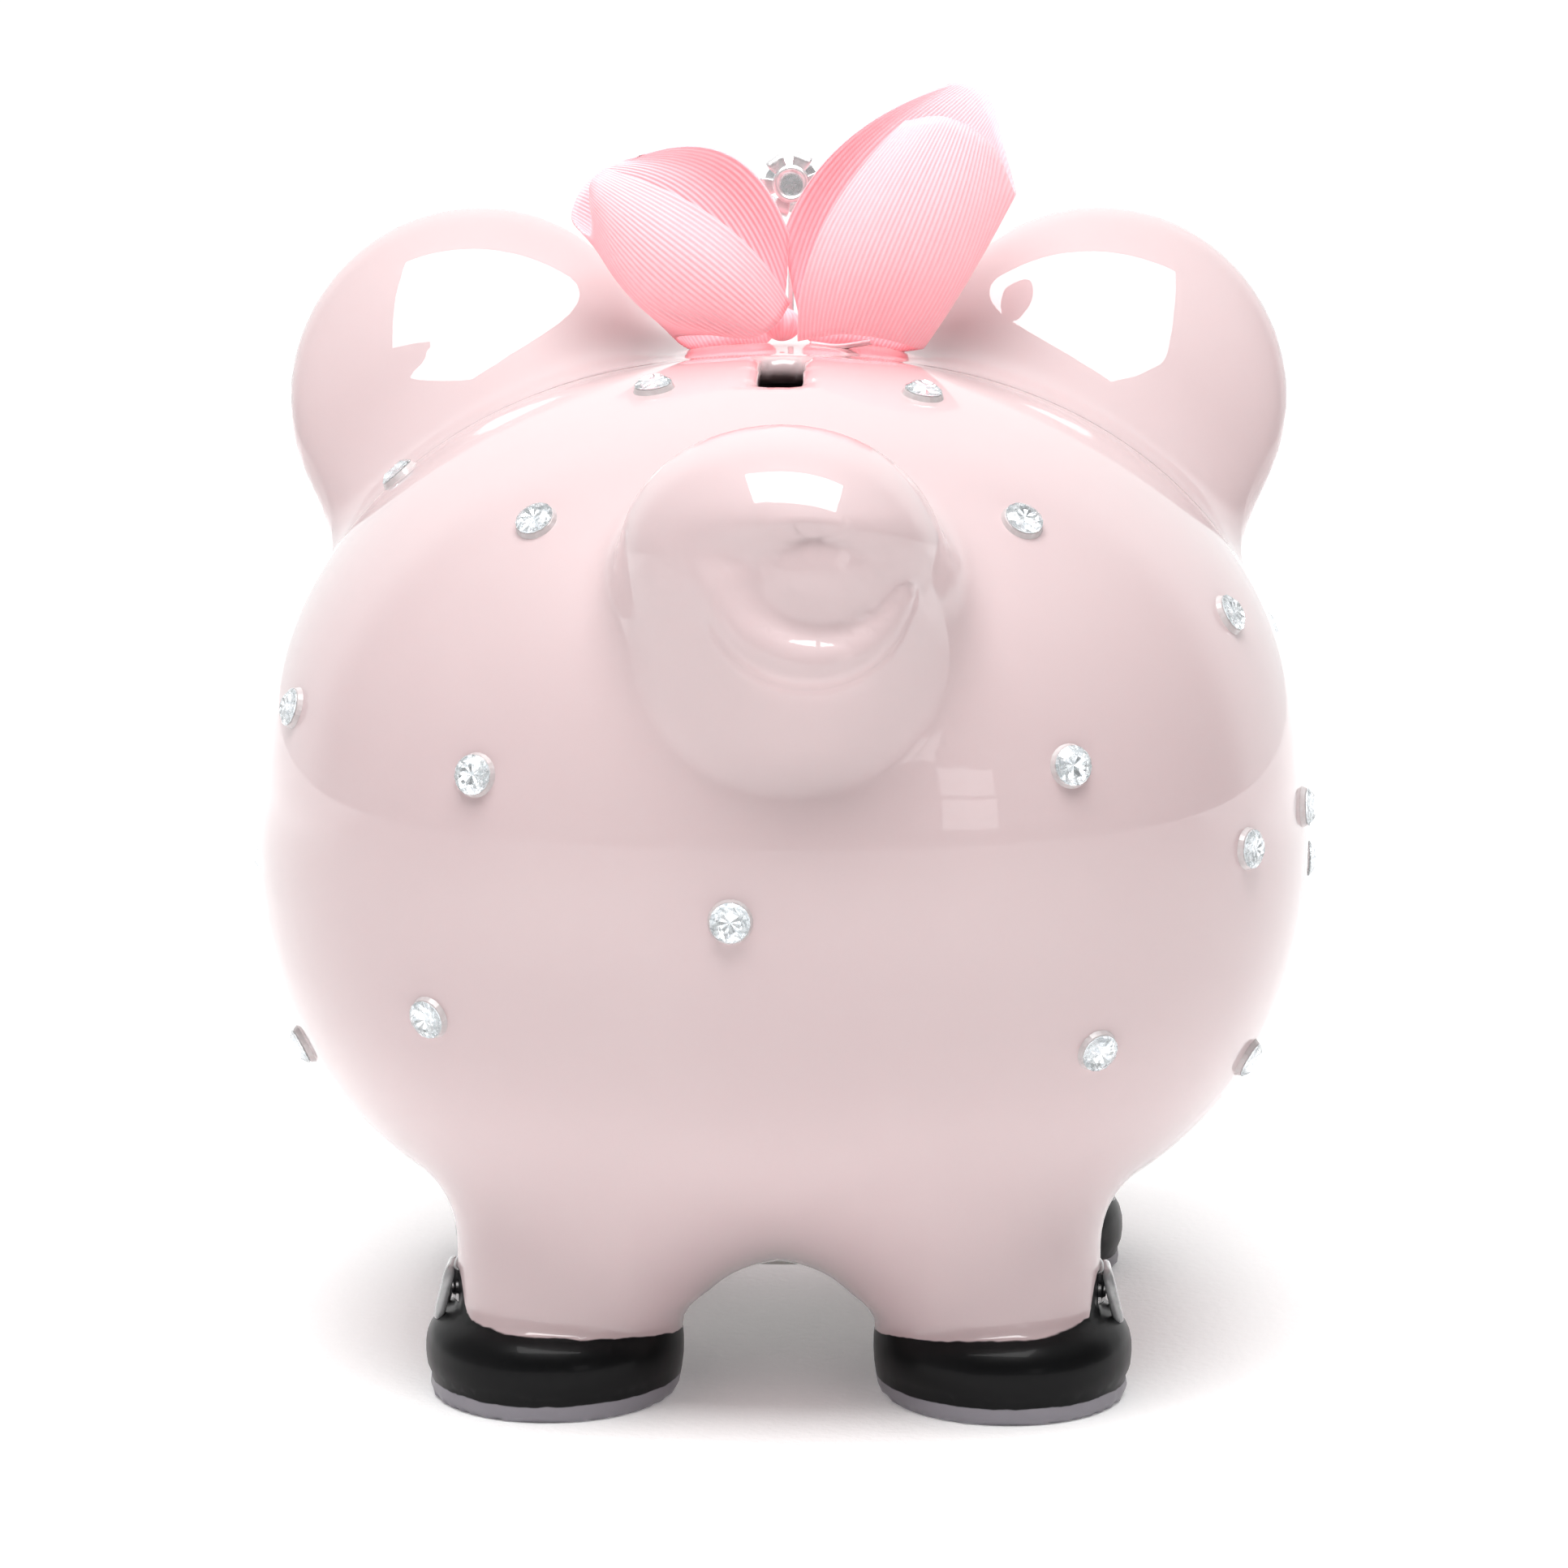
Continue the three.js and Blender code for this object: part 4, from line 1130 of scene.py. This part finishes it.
# ---------------------------------------------------------------------------- stopper
@dataclass
class RubberStopper:
    """The flanged rubber plug, with a finger bar across its underside."""

    sides: int = 72
    cup_wall: float = 0.0032
    recess_radius: float = 0.012
    recess_depth: float = 0.0012
    bar_width: float = 0.004
    flange_height: float = 0.0024
    flange_round: float = 0.0012
    plug_inset: float = 0.00435
    rib_depth: float = 0.0004
    ribs: int = 3

    def build(self) -> bpy.types.Object:
        """Turns the plug's profile and lays the finger bar in its recess."""
        low, high = (np.array(corner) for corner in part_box("stopper"))
        flange = (high[0] - low[0]) / 2
        middle = (low + high) / 2
        origin = np.array([middle[0], middle[1], low[2]])
        plug_top = high[2] - low[2]
        profile = self.profile(flange, self.flange_height, flange - self.plug_inset, plug_top)
        points = turned_points(profile, self.sides, origin, np.eye(3))
        quads = grid_quads(len(profile), self.sides, False, True)
        rubber = RubberFinish().build()
        bar_points, bar_quads = self.finger_bar(origin, len(points))
        points = np.concatenate([points, bar_points])
        made = new_mesh_object("belly_stopper", points, [np.concatenate([quads, bar_quads])], [rubber])
        return place_piece(made, "stopper_rubber", "stopper", body=STOPPER_BODY)

    def profile(self, flange: float, flange_top: float, plug: float, plug_top: float) -> Array:
        """Radius and height from the underside's middle, round the flange and into the cup.

        The plug's side is a wave for its ribs, radius = plug - depth (1 - cos 2 pi n t), and it
        draws in by a fourth power of t towards its top.
        """
        tiny = 0.00002
        recess = self.recess_depth
        rim = self.recess_radius
        under = [(tiny, recess), (rim - 0.0012, recess), (rim - 0.0004, recess * 0.6)]
        edge = [(rim, 0.0002), (rim + 0.0006, 0.0)]
        t = np.linspace(-math.pi / 2, math.pi / 2, 9)
        edge_radius = flange - self.flange_round + self.flange_round * np.cos(t)
        round_edge = np.stack([edge_radius, flange_top / 2 + flange_top / 2 * np.sin(t)], axis=1)
        share = np.linspace(0, 1, 28)
        ripple = plug - self.rib_depth * (1 - np.cos(TURN * self.ribs * share)) - 0.0010 * share**4
        side = np.stack([ripple, flange_top + 0.0002 + share * (plug_top - flange_top - 0.0006)], axis=1)
        cup = plug - self.cup_wall
        inside = [(plug - 0.0018, plug_top), (cup, plug_top), (cup - 0.0003, plug_top - 0.0005)]
        deep = flange_top + 0.002
        floor = [(cup - 0.0006, flange_top + 0.0026), (cup - 0.0016, deep), (tiny, deep)]
        return np.concatenate([under, edge, round_edge, side, inside, floor])

    def finger_bar(self, origin: Array, offset: int) -> tuple[Array, NDArray[np.int64]]:
        """A rounded bar across the recess: a squared oval section along X, closed to points."""
        length, section = 25, 16
        along = np.linspace(-1, 1, length)
        swell = np.maximum(1 - np.abs(along) ** 10, 0.0004)
        oval = squared_ring(section, 0.7)
        x = along[:, None] * (self.recess_radius - 0.0002)
        y = swell[:, None] * (self.bar_width / 2 * oval[0])[None]
        z = swell[:, None] * (self.recess_depth * oval[1])[None]
        points = stacked(x, y, z).reshape(-1, 3)
        points += origin + np.array([0.0, 0.0, self.recess_depth + 0.0001])
        return points, grid_quads(length, section, False, True) + offset


# ---------------------------------------------------------------------------- rhinestones
@dataclass
class Rhinestones:
    """Foil-backed cut stones glued where the CAD's stones are."""

    casting: Casting
    radius: float = 0.00305
    table_radius: float = 0.0018
    height: float = 0.0019
    girdle: float = 0.0008
    pavilion_radius: float = 0.0016
    point_height: float = 0.00022
    seat_gap: float = 0.00005
    sides: int = 16
    glue_sides: int = 24
    glue_rings: tuple[tuple[float, float], ...] = (
        (0.0029, 0.0007),
        (0.00312, 0.0006),
        (0.00328, 0.0002),
        (0.0035, -0.0003),
        (0.0028, -0.0005),
    )

    def build(self, names: Sequence[str]) -> list[bpy.types.Object]:
        """Builds one stone for each named node."""
        materials = [CrystalFinish().build(), FoilFinish().build(), GlueFinish().build()]
        return [self.stone(name, index, materials) for index, name in enumerate(names)]

    def outward(self, middle: Array) -> Array:
        """The belly's outward normal below a stone: the slope of its sum of powers."""
        point = middle / MM - np.array([0.0, self.casting.middle_y, self.casting.belly_z])
        drop = self.casting.rise if point[2] > 0 else self.casting.drop
        half = np.array([*self.casting.half, drop])
        slope = np.sign(point) * np.abs(point / half) ** (self.casting.power - 1) / half
        return slope / np.linalg.norm(slope)

    def foot(self, middle: Array) -> Array:
        """The point of the belly below a stone, along the line from the belly's centre."""
        centre = np.array([0.0, self.casting.middle_y, self.casting.belly_z])
        direction = middle / MM - centre
        direction /= np.linalg.norm(direction)
        return (centre + direction * self.casting.reach(direction[None])[0]) * MM

    def stone(self, name: str, index: int, materials: Sequence[bpy.types.Material]) -> bpy.types.Object:
        """One stone: a table, star and main facets, a girdle and a shallow foiled pavilion.

        Rings of points: the table's octagon, a ring halfway down, the girdle's two rings, a ring
        on the pavilion and its point. Odd points of the second ring sit lower and further out,
        which makes kite and triangle facets. Last comes the rim of glue.
        """
        middle = node_middle(name)
        normal = self.outward(middle)
        seat = self.foot(middle) + normal * self.seat_gap
        axes = axes_towards(normal)
        spin = index * 1.7
        cos, sin = math.cos(spin), math.sin(spin)
        axes = np.array([[cos, sin, 0], [-sin, cos, 0], [0, 0, 1]]) @ axes
        count = self.sides
        angle = np.arange(count) * TURN / count
        even = np.arange(count) % 2 == 0
        table_reach = np.where(even, self.table_radius, self.table_radius * math.cos(TURN / 16))
        mid_reach = np.where(even, 0.00235, 0.0026)
        mid_height = np.where(even, 0.00155, 0.00125)
        rings = [
            (table_reach, np.full(count, self.height)),
            (mid_reach, mid_height),
            (np.full(count, self.radius), np.full(count, self.girdle + 0.0002)),
            (np.full(count, self.radius), np.full(count, self.girdle)),
            (np.full(count, self.pavilion_radius), np.where(even, 0.00030, 0.00045)),
        ]
        local = [stacked(r * np.cos(angle), r * np.sin(angle), h) for r, h in rings]
        apex = np.array([[0.0, 0.0, self.point_height]])
        top = np.array([[0.0, 0.0, self.height]])
        glue_angle = np.arange(self.glue_sides) * TURN / self.glue_sides
        glue = [stacked(r * np.cos(glue_angle), r * np.sin(glue_angle), h) for r, h in self.glue_rings]
        points = np.concatenate([*local, apex, top, *glue]) @ axes + seat
        sides = self.split(grid_quads(len(rings), count, False, True)[:, ::-1])
        here = np.arange(count)
        after = np.roll(here, -1)
        apex_at, last_ring = len(rings) * count, (len(rings) - 1) * count
        table = stacked(apex_at + 1, here, after)
        upper = 6 * count
        crown = np.concatenate([table, sides[:upper]])
        point = stacked(last_ring + after, last_ring + here, apex_at)
        pavilion = np.concatenate([sides[upper:], point])
        glue_quads = grid_quads(len(glue), self.glue_sides, True, True)[:, ::-1] + apex_at + 2
        glue_faces = self.split(glue_quads)
        made = new_mesh_object(f"{name}_cut", points, [crown, pavilion, glue_faces], materials, smooth=False)
        return place_piece(made, "rhinestone_crystal", name)

    @staticmethod
    def split(quads: NDArray[np.int64]) -> NDArray[np.int64]:
        """Each quad as two triangles."""
        return np.stack([quads[:, [0, 1, 2]], quads[:, [0, 2, 3]]], axis=1).reshape(-1, 3)


# ---------------------------------------------------------------------------- bow
def store_uv(made: bpy.types.Object, per_point: Array) -> None:
    """Stores a pair of coordinates for each point as the UV map."""
    corner = np.zeros(len(made.data.loops), np.int32)
    made.data.loops.foreach_get("vertex_index", corner)
    layer = made.data.uv_layers.new(name="UVMap")
    layer.data.foreach_set("uv", per_point[corner].ravel())


@dataclass
class RibbonLoop:
    """One loop of ribbon: a strip through a list of stations, with woven ribs in its surface.

    A station holds the ribbon's low edge, middle and high edge, in millimetres from the bow's
    foot on the crown. Stations run along the near wall, round the outer turn, then back.
    """

    name: str
    node: str
    stations: Sequence[Sequence[Sequence[float]]]
    cut_length: float
    width: float = RIBBON_WIDTH
    rib_pitch: float = 0.00088
    rib_height: float = 0.00010
    thickness: float = 0.00036
    across_steps: int = 26
    samples_per_rib: int = 6
    selvedge: float = 0.03

    def build(self, foot: Array, material: bpy.types.Material) -> bpy.types.Object:
        """Builds the strip with both faces and its four edges closed.

        A point is the parabola across its station, low (1 - v)(1 - 2v) + middle 4v(1 - v) +
        high v(2v - 1), moved along the face by half the thickness and by the ribs' sine.

        Args:
            foot: the bow's foot.
            material: the ribbon's finish.

        Returns:
            The loop.
        """
        steps = int(self.cut_length / self.rib_pitch * self.samples_per_rib)
        rows = np.asarray(self.stations, float) * MM
        low, bend, high = (smooth_line(rows[:, i], steps)[:, None] for i in range(3))
        v = np.linspace(0, 1, self.across_steps)
        w = v[None, :, None]
        middle = low * (1 - w) * (1 - 2 * w) + bend * 4 * w * (1 - w) + high * w * (2 * w - 1)
        face = np.cross(np.gradient(middle, axis=0), np.gradient(middle, axis=1))
        face /= np.linalg.norm(face, axis=-1)[..., None]
        centre_line = middle[:, self.across_steps // 2]
        steps_long = np.linalg.norm(np.diff(centre_line, axis=0), axis=1)
        length = np.concatenate([[0], np.cumsum(steps_long)])
        length *= self.cut_length / length[-1]
        stretch = np.linalg.norm(np.gradient(middle, axis=0), axis=-1)[..., None]
        crowding = np.clip(stretch / np.median(stretch) * 1.2 - 0.3, 0.0, 1.0)
        rib = np.sin(TURN * length / self.rib_pitch)[:, None, None] * self.rib_height * crowding
        edge = 1 - 0.6 * (np.minimum(v, 1 - v) < self.selvedge)[None, :, None]
        front = middle + face * (self.thickness / 2 + rib * edge)
        back = middle - face * (self.thickness / 2 - rib * edge)
        points = np.concatenate([front.reshape(-1, 3), back.reshape(-1, 3)]) + foot
        quads = self.faces(steps, self.across_steps)
        made = new_mesh_object(self.name, points, [quads], [material])
        metres = stacked(length[:, None], v[None] * self.width).reshape(-1, 2)
        store_uv(made, np.tile(metres, (2, 1)))
        place_piece(made, "grosgrain_ribbon", self.node)
        return made

    @staticmethod
    def faces(rows: int, columns: int) -> NDArray[np.int64]:
        """Front quads, back quads turned round, and the strip that joins their outlines."""
        front = grid_quads(rows, columns, False, False)[:, ::-1]
        back = front[:, ::-1] + rows * columns
        grid = np.arange(rows * columns).reshape(rows, columns)
        outline = np.concatenate([grid[0, :-1], grid[:-1, -1], grid[-1, :0:-1], grid[:0:-1, 0]])
        after = np.roll(outline, -1)
        rim = np.stack([outline, after, after + rows * columns, outline + rows * columns], axis=1)
        return np.concatenate([front, back, rim])


RIGHT_LOOP = [
    [[2.2, -4, 3.2], [6.3, -8, 21.8], [20.2, -5, 39.9]],
    [[9.6, -7, 4.4], [16, -10.5, 22], [26, -7, 40.6]],
    [[17, -6.5, 3.6], [25, -10, 21], [31.2, -6.5, 38.8]],
    [[21.8, -4.5, 2.2], [30.6, -6.5, 17.2], [35.4, -4.5, 35]],
    [[23.2, -1, 1.9], [31.8, -1, 15.2], [39, -0.5, 28]],
    [[18, 5, 1.3], [28.5, 6, 18], [36.8, 3.5, 37]],
    [[11, 8, 2.4], [22, 8.5, 23], [35.4, 5.5, 42.8]],
    [[4, 9, 3], [15, 9.7, 27], [33.4, 7, 46.6]],
    [[1.6, 8.6, 10], [11, 9.7, 32], [30.6, 7.8, 47.4]],
    [[-0.6, 7, 21.2], [9.6, 8, 36.6], [27.5, 8.2, 46.4]],
]
LEFT_LOOP = [
    [[0.8, -3.5, 9.6], [-11, -7.5, 23.3], [-30.1, -6, 32]],
    [[-1.5, -6, 6], [-14.5, -10.5, 17.8], [-32.4, -7, 30]],
    [[-5.5, -7, 3.8], [-19, -10.5, 13.4], [-32.8, -7, 27]],
    [[-13, -6, 4.4], [-24, -8, 10], [-32.4, -5, 23]],
    [[-18.5, -1, 3.8], [-27, -2, 12], [-33.4, 0, 21]],
    [[-15.5, 4.5, 1.5], [-26, 4, 15], [-36.6, 3, 24]],
    [[-9, 7.5, 2.5], [-21.5, 8.5, 20], [-35, 5, 29]],
    [[-3, 8.2, 3], [-15, 9.7, 25], [-31.7, 6.5, 32.4]],
    [[-0.4, 7.6, 10], [-12.2, 9.6, 30], [-29.6, 7.5, 33.4]],
    [[0.5, 6.2, 21.2], [-10.2, 7.8, 35], [-27.4, 8, 33.8]],
]


@dataclass
class Bow:
    """Two loops of wide grosgrain, the pinched fold between them and the wire that ties them."""

    foot_below_pinch: tuple[float, float, float] = (0.0006, -0.0005, -0.006)
    wire_radius: float = 0.0005

    def build(self) -> list[bpy.types.Object]:
        """Builds the loops, the fold and the wire."""
        foot = node_middle("ribbon_pinch") + np.array(self.foot_below_pinch)
        ribbon = GrosgrainFinish().build()
        right = RibbonLoop("bow_loop_right", "ribbon_loop_right", RIGHT_LOOP, 0.070)
        left = RibbonLoop("bow_loop_left", "ribbon_loop_left", LEFT_LOOP, 0.062)
        made = [loop.build(foot, ribbon) for loop in (right, left)]
        made.append(self.pinch(ribbon))
        made.append(self.wire())
        return made

    def pinch(self, ribbon: bpy.types.Material) -> bpy.types.Object:
        """The gathered fold: a ball rippled in pleats, r = 1 + 0.09 sin p cos(9 t + 2.2 p)."""
        low, high = (np.array(corner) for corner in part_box("ribbon_pinch"))
        rows, columns = 40, 96
        polar = np.linspace(0.02, math.pi - 0.02, rows)[:, None]
        angle = (np.arange(columns) * TURN / columns)[None, :]
        pleat = 1 + 0.09 * np.sin(polar) * np.cos(9 * angle + 2.2 * polar)
        x = np.sin(polar) * np.cos(angle) * pleat
        y = np.sin(polar) * np.sin(angle) * pleat
        ball = stacked(x, y, np.cos(polar)).reshape(-1, 3)
        points = ball * (high - low) / 2 * 0.96 + (low + high) / 2
        quads = grid_quads(rows, columns, False, True)[:, ::-1]
        made = new_mesh_object("bow_pinch", points, [quads], [ribbon])
        thread_radius = 0.004
        store_uv(made, stacked(angle * thread_radius, polar * thread_radius).reshape(-1, 2))
        return place_piece(made, "grosgrain_ribbon", "ribbon_pinch")

    def wire(self) -> bpy.types.Object:
        """The thin wire that shows under the right loop."""
        low, high = (np.array(corner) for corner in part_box("bow_wire"))
        inset = np.array([0.0006, -0.0006, 0.0006])
        inner = np.array([low[0], high[1], low[2]]) + inset
        outer = np.array([high[0], low[1], high[2]]) - inset
        middle = (inner + outer) / 2 + np.array([-0.0005, -0.0002, -0.0006])
        path = smooth_line([inner, middle, outer], 30)
        points, quads = swept_tube(path, self.wire_radius, 12)
        silver = MetalFinish("silver_wire", (0.94, 0.94, 0.95), (0.80, 0.79, 0.80)).build()
        made = new_mesh_object("tie_wire", points, [quads], [silver])
        return place_piece(made, "silver_wire", "bow_wire")


# ---------------------------------------------------------------------------- brooch
@dataclass
class Brooch:
    """A cut stone in a six-armed stamped setting, carried on a wire stem."""

    prongs: int = 6
    hub_radius: float = 0.0033
    hole_radius: float = 0.0020
    arm_width: float = 0.0032
    arm_thick: float = 0.00045
    first_arm: float = 0.9
    bend_radius: float = 0.0010
    hub_half_height: float = 0.0007
    arm_height: float = 0.0009
    stone_radius: float = 0.0048
    stem_radius: float = 0.00055

    def build(self) -> list[bpy.types.Object]:
        """Builds the setting, the stone and the stem."""
        low, high = (np.array(corner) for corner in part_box("brooch_setting"))
        self.centre = np.array([(low[0] + high[0]) / 2, low[1], (low[2] + high[2]) / 2])
        self.reach = (high[2] - low[2]) / 2 - 0.0002
        self.depth = high[1] - low[1]
        self.axes = np.array([[-1.0, 0.0, 0.0], [0.0, 0.0, 1.0], [0.0, 1.0, 0.0]])
        metal = MetalFinish("bright_metal").build()
        return [self.setting(metal), self.stone(), self.stem(metal)]

    def setting(self, metal: bpy.types.Material) -> bpy.types.Object:
        """A rounded hub ring and six flat arms that flare, then bend over the stone.

        An arm's section is a flat oval, carried along a path that runs out from the hub, turns
        through a quarter and runs forward, widening from the hub to the bend.
        """
        s = np.arange(20) * TURN / 20
        ring_middle = (self.hub_radius + self.hole_radius) / 2
        ring_half = (self.hub_radius - self.hole_radius) / 2
        half_height = self.hub_half_height
        radius, height = ring_middle + ring_half * np.cos(s), half_height + half_height * np.sin(s)
        profile = np.stack([radius, height], axis=1)
        hub = turned_points(profile, 48, self.centre, self.axes)
        faces = [grid_quads(len(profile), 48, True, True)[:, ::-1]]
        points = [hub]
        offset = len(hub)
        for index in range(self.prongs):
            angle = TURN * (index + self.first_arm) / self.prongs
            arm, quads = self.arm(angle)
            points.append(arm)
            faces.append(quads + offset)
            offset += len(arm)
        made = new_mesh_object("brooch_claws", np.concatenate(points), [np.concatenate(faces)], [metal])
        return place_piece(made, "bright_metal", "brooch_setting")

    def arm(self, angle: float) -> tuple[Array, NDArray[np.int64]]:
        """One arm, as points and quads."""
        steps, section = 30, 16
        t = np.linspace(0, 1, steps)
        bend = self.bend_radius
        flat = self.reach - bend - self.hub_radius * 0.8
        rise = self.depth - bend - self.arm_height
        total = flat + bend * math.pi / 2 + rise
        run = t * total
        turn = np.clip((run - flat) / bend, 0, math.pi / 2)
        out = self.hub_radius * 0.8 + np.minimum(run, flat) + bend * np.sin(turn)
        forward = self.arm_height + bend * (1 - np.cos(turn)) + np.maximum(run - flat - bend * math.pi / 2, 0)
        width = self.arm_width / 2 * (0.70 + 0.30 * np.clip(run / flat, 0, 1)) * (1 - 0.35 * t**6)
        close = np.where((t == 0) | (t == 1), 0.05, 1.0)
        squared = squared_ring(section, 0.5)
        side = (width * close)[:, None] * squared[0][None]
        lift = (self.arm_thick / 2 * close)[:, None] * squared[1][None]
        radial = out[:, None] - lift * np.sin(turn)[:, None]
        ahead = forward[:, None] + lift * np.cos(turn)[:, None]
        across = -math.sin(angle) * self.axes[0] + math.cos(angle) * self.axes[1]
        outward = math.cos(angle) * self.axes[0] + math.sin(angle) * self.axes[1]
        points = (
            self.centre
            + radial[..., None] * outward
            + side[..., None] * across
            + ahead[..., None] * self.axes[2]
        )
        return points.reshape(-1, 3), grid_quads(steps, section, False, True)

    def stone(self) -> bpy.types.Object:
        """The cut stone: a faceted pavilion to the hub, a girdle, a crown and a table."""
        low, high = (np.array(corner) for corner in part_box("brooch_stone"))
        depth = high[1] - low[1]
        count = 16
        profile = np.array([
            [0.00002, 0.0],
            [self.stone_radius * 0.45, 0.0],
            [self.stone_radius, depth * 0.5],
            [self.stone_radius, depth * 0.6],
            [self.stone_radius * 0.6, depth],
            [0.00002, depth],
        ])
        origin = np.array([self.centre[0], low[1], self.centre[2]])
        points = turned_points(profile, count, origin, self.axes)
        quads = grid_quads(len(profile), count, False, True)[:, ::-1]
        crystal = CrystalFinish("brooch_crystal", (1.0, 0.93, 0.94)).build()
        backed = 2 * count
        finishes = [crystal, FoilFinish().build()]
        made = new_mesh_object("brooch_gem", points, [quads[backed:], quads[:backed]], finishes, smooth=False)
        return place_piece(made, "brooch_crystal", "brooch_stone")

    def stem(self, metal: bpy.types.Material) -> bpy.types.Object:
        """The wire from the setting down to the bow's foot."""
        low, high = (np.array(corner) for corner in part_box("brooch_stem"))
        x = (low[0] + high[0]) / 2
        top = [x, high[1] - 0.0007, high[2]]
        bend = [x, high[1] - 0.003, high[2] - 0.008]
        path = smooth_line([top, bend, [x, low[1] + 0.0006, low[2]]], 30)
        points, quads = swept_tube(path, self.stem_radius, 12)
        made = new_mesh_object("brooch_wire", points, [quads], [metal])
        return place_piece(made, "silver_wire", "brooch_stem")


# ---------------------------------------------------------------------------- studio
@dataclass
class Studio:
    """White sweep, soft window light and the camera."""

    camera_distance: float = 0.643
    camera_height: float = 0.178
    camera_turn_deg: float = 1.2
    camera_pitch_deg: float = 7.5
    lens: float = 87.4
    backdrop: Colour = (1.08, 1.08, 1.08)
    room: Colour = (0.02, 0.02, 0.021)
    left_wall: Colour = (0.40, 0.39, 0.395)
    ceiling: Colour = (0.80, 0.795, 0.795)

    def build(self) -> None:
        """Sets the floor, world, lights and camera."""
        self.floor()
        self.world()
        self.area("ceiling_window", (-0.03, -0.34, 1.0), (0.0, -0.03, 0.12), (0.85, 0.48), 12.2)
        self.window((1.0, -1.75, 0.27), (0.0, 0.0, 0.10), 0.20, 0.8)
        self.camera()
        bpy.context.scene.view_settings.view_transform = "Standard"

    def floor(self) -> None:
        """A wide flat sheet."""
        half = 6.0
        corners = np.array([[-half, -half, 0], [half, -half, 0], [half, half, 0], [-half, half, 0]])
        quad = np.array([[0, 1, 2, 3]])
        new_mesh_object("white_floor", corners, [quad], [FloorFinish().build()])

    def world(self) -> None:
        """A white backdrop ahead of the camera, a pale ceiling and left wall, and a dark room."""
        world = bpy.data.worlds.new("white_room")
        bpy.context.scene.world = world
        world.use_nodes = True
        tree = world.node_tree
        place = tree.nodes.new("ShaderNodeTexCoord")
        split = tree.nodes.new("ShaderNodeSeparateXYZ")
        tree.links.new(place.outputs["Generated"], split.inputs[0])
        sky = tree.nodes["Background"].inputs["Color"]
        colour = self.fade(tree, split.outputs["Z"], (0.40, 1.05), self.room, self.ceiling)
        colour = self.fade(tree, split.outputs["X"], (-0.35, -1.0), colour, self.left_wall)
        colour = self.fade(tree, split.outputs["Y"], (0.25, 0.55), colour, self.backdrop)
        tree.links.new(colour, sky)

    @staticmethod
    def fade(
        tree: bpy.types.NodeTree,
        along: bpy.types.NodeSocket,
        span: tuple[float, float],
        start: Colour | bpy.types.NodeSocket,
        end: Colour,
    ) -> bpy.types.NodeSocket:
        """Fades the sky from one colour to another as a direction's coordinate crosses a span."""
        ramp = tree.nodes.new("ShaderNodeMapRange")
        ramp.interpolation_type = "SMOOTHSTEP"
        ramp.inputs["From Min"].default_value, ramp.inputs["From Max"].default_value = span
        tree.links.new(along, ramp.inputs["Value"])
        mix = tree.nodes.new("ShaderNodeMix")
        mix.data_type = "RGBA"
        mix.inputs[7].default_value = (*end, 1.0)
        if isinstance(start, tuple):
            mix.inputs[6].default_value = (*start, 1.0)
        else:
            tree.links.new(start, mix.inputs[6])
        tree.links.new(ramp.outputs[0], mix.inputs[0])
        return mix.outputs[2]

    def window(self, middle: Sequence[float], aim: Sequence[float], pane: float, watts: float) -> None:
        """A small window of two by two panes with a bar between them."""
        pitch = pane * 1.15
        for column in (-0.5, 0.5):
            for row in (-0.5, 0.5):
                place = (middle[0] + column * pitch, middle[1], middle[2] + row * pitch + pitch / 2)
                self.area("window_pane", place, aim, (pane, pane), watts / 4)

    def area(
        self,
        name: str,
        place: Sequence[float],
        aim: Sequence[float],
        size: tuple[float, float],
        watts: float,
    ) -> None:
        """Adds a rectangular light that faces a point."""
        lamp = bpy.data.lights.new(name, "AREA")
        lamp.shape = "RECTANGLE"
        lamp.size, lamp.size_y = size
        lamp.energy = watts
        holder = bpy.data.objects.new(name, lamp)
        holder.location = place
        toward = Vector(aim) - Vector(place)
        holder.rotation_euler = toward.to_track_quat("-Z", "Y").to_euler()
        bpy.context.scene.collection.objects.link(holder)

    def camera(self) -> None:
        """Stands the camera behind the pig, a little above its middle."""
        data = bpy.data.cameras.new("product_camera")
        data.lens = self.lens
        data.sensor_width = 36.0
        camera = bpy.data.objects.new("product_camera", data)
        turn = math.radians(self.camera_turn_deg)
        camera.location = (
            self.camera_distance * math.sin(turn),
            -self.camera_distance * math.cos(turn),
            self.camera_height,
        )
        camera.rotation_euler = (math.radians(90 - self.camera_pitch_deg), 0.0, turn)
        bpy.context.scene.collection.objects.link(camera)
        bpy.context.scene.camera = camera


# ---------------------------------------------------------------------------- making
def main() -> None:
    """Builds the bank in its frame and reports each piece."""
    logging.basicConfig(level=logging.INFO, format="%(name)s: %(message)s")
    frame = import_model()
    casting = Casting(middle_y=float(node_middle("stopper")[1]) / MM)
    gem_nodes = sorted(name for name in frame["nodes"] if name.startswith("rhinestone_"))
    made = CeramicPig(casting).build()
    made.append(RubberStopper().build())
    made.extend(Rhinestones(casting).build(gem_nodes))
    made.extend(Bow().build())
    made.extend(Brooch().build())
    Studio().build()
    for piece in made:
        log.info("%s: %d faces", piece.name, len(piece.data.polygons))


if __name__ == "__main__":
    main()
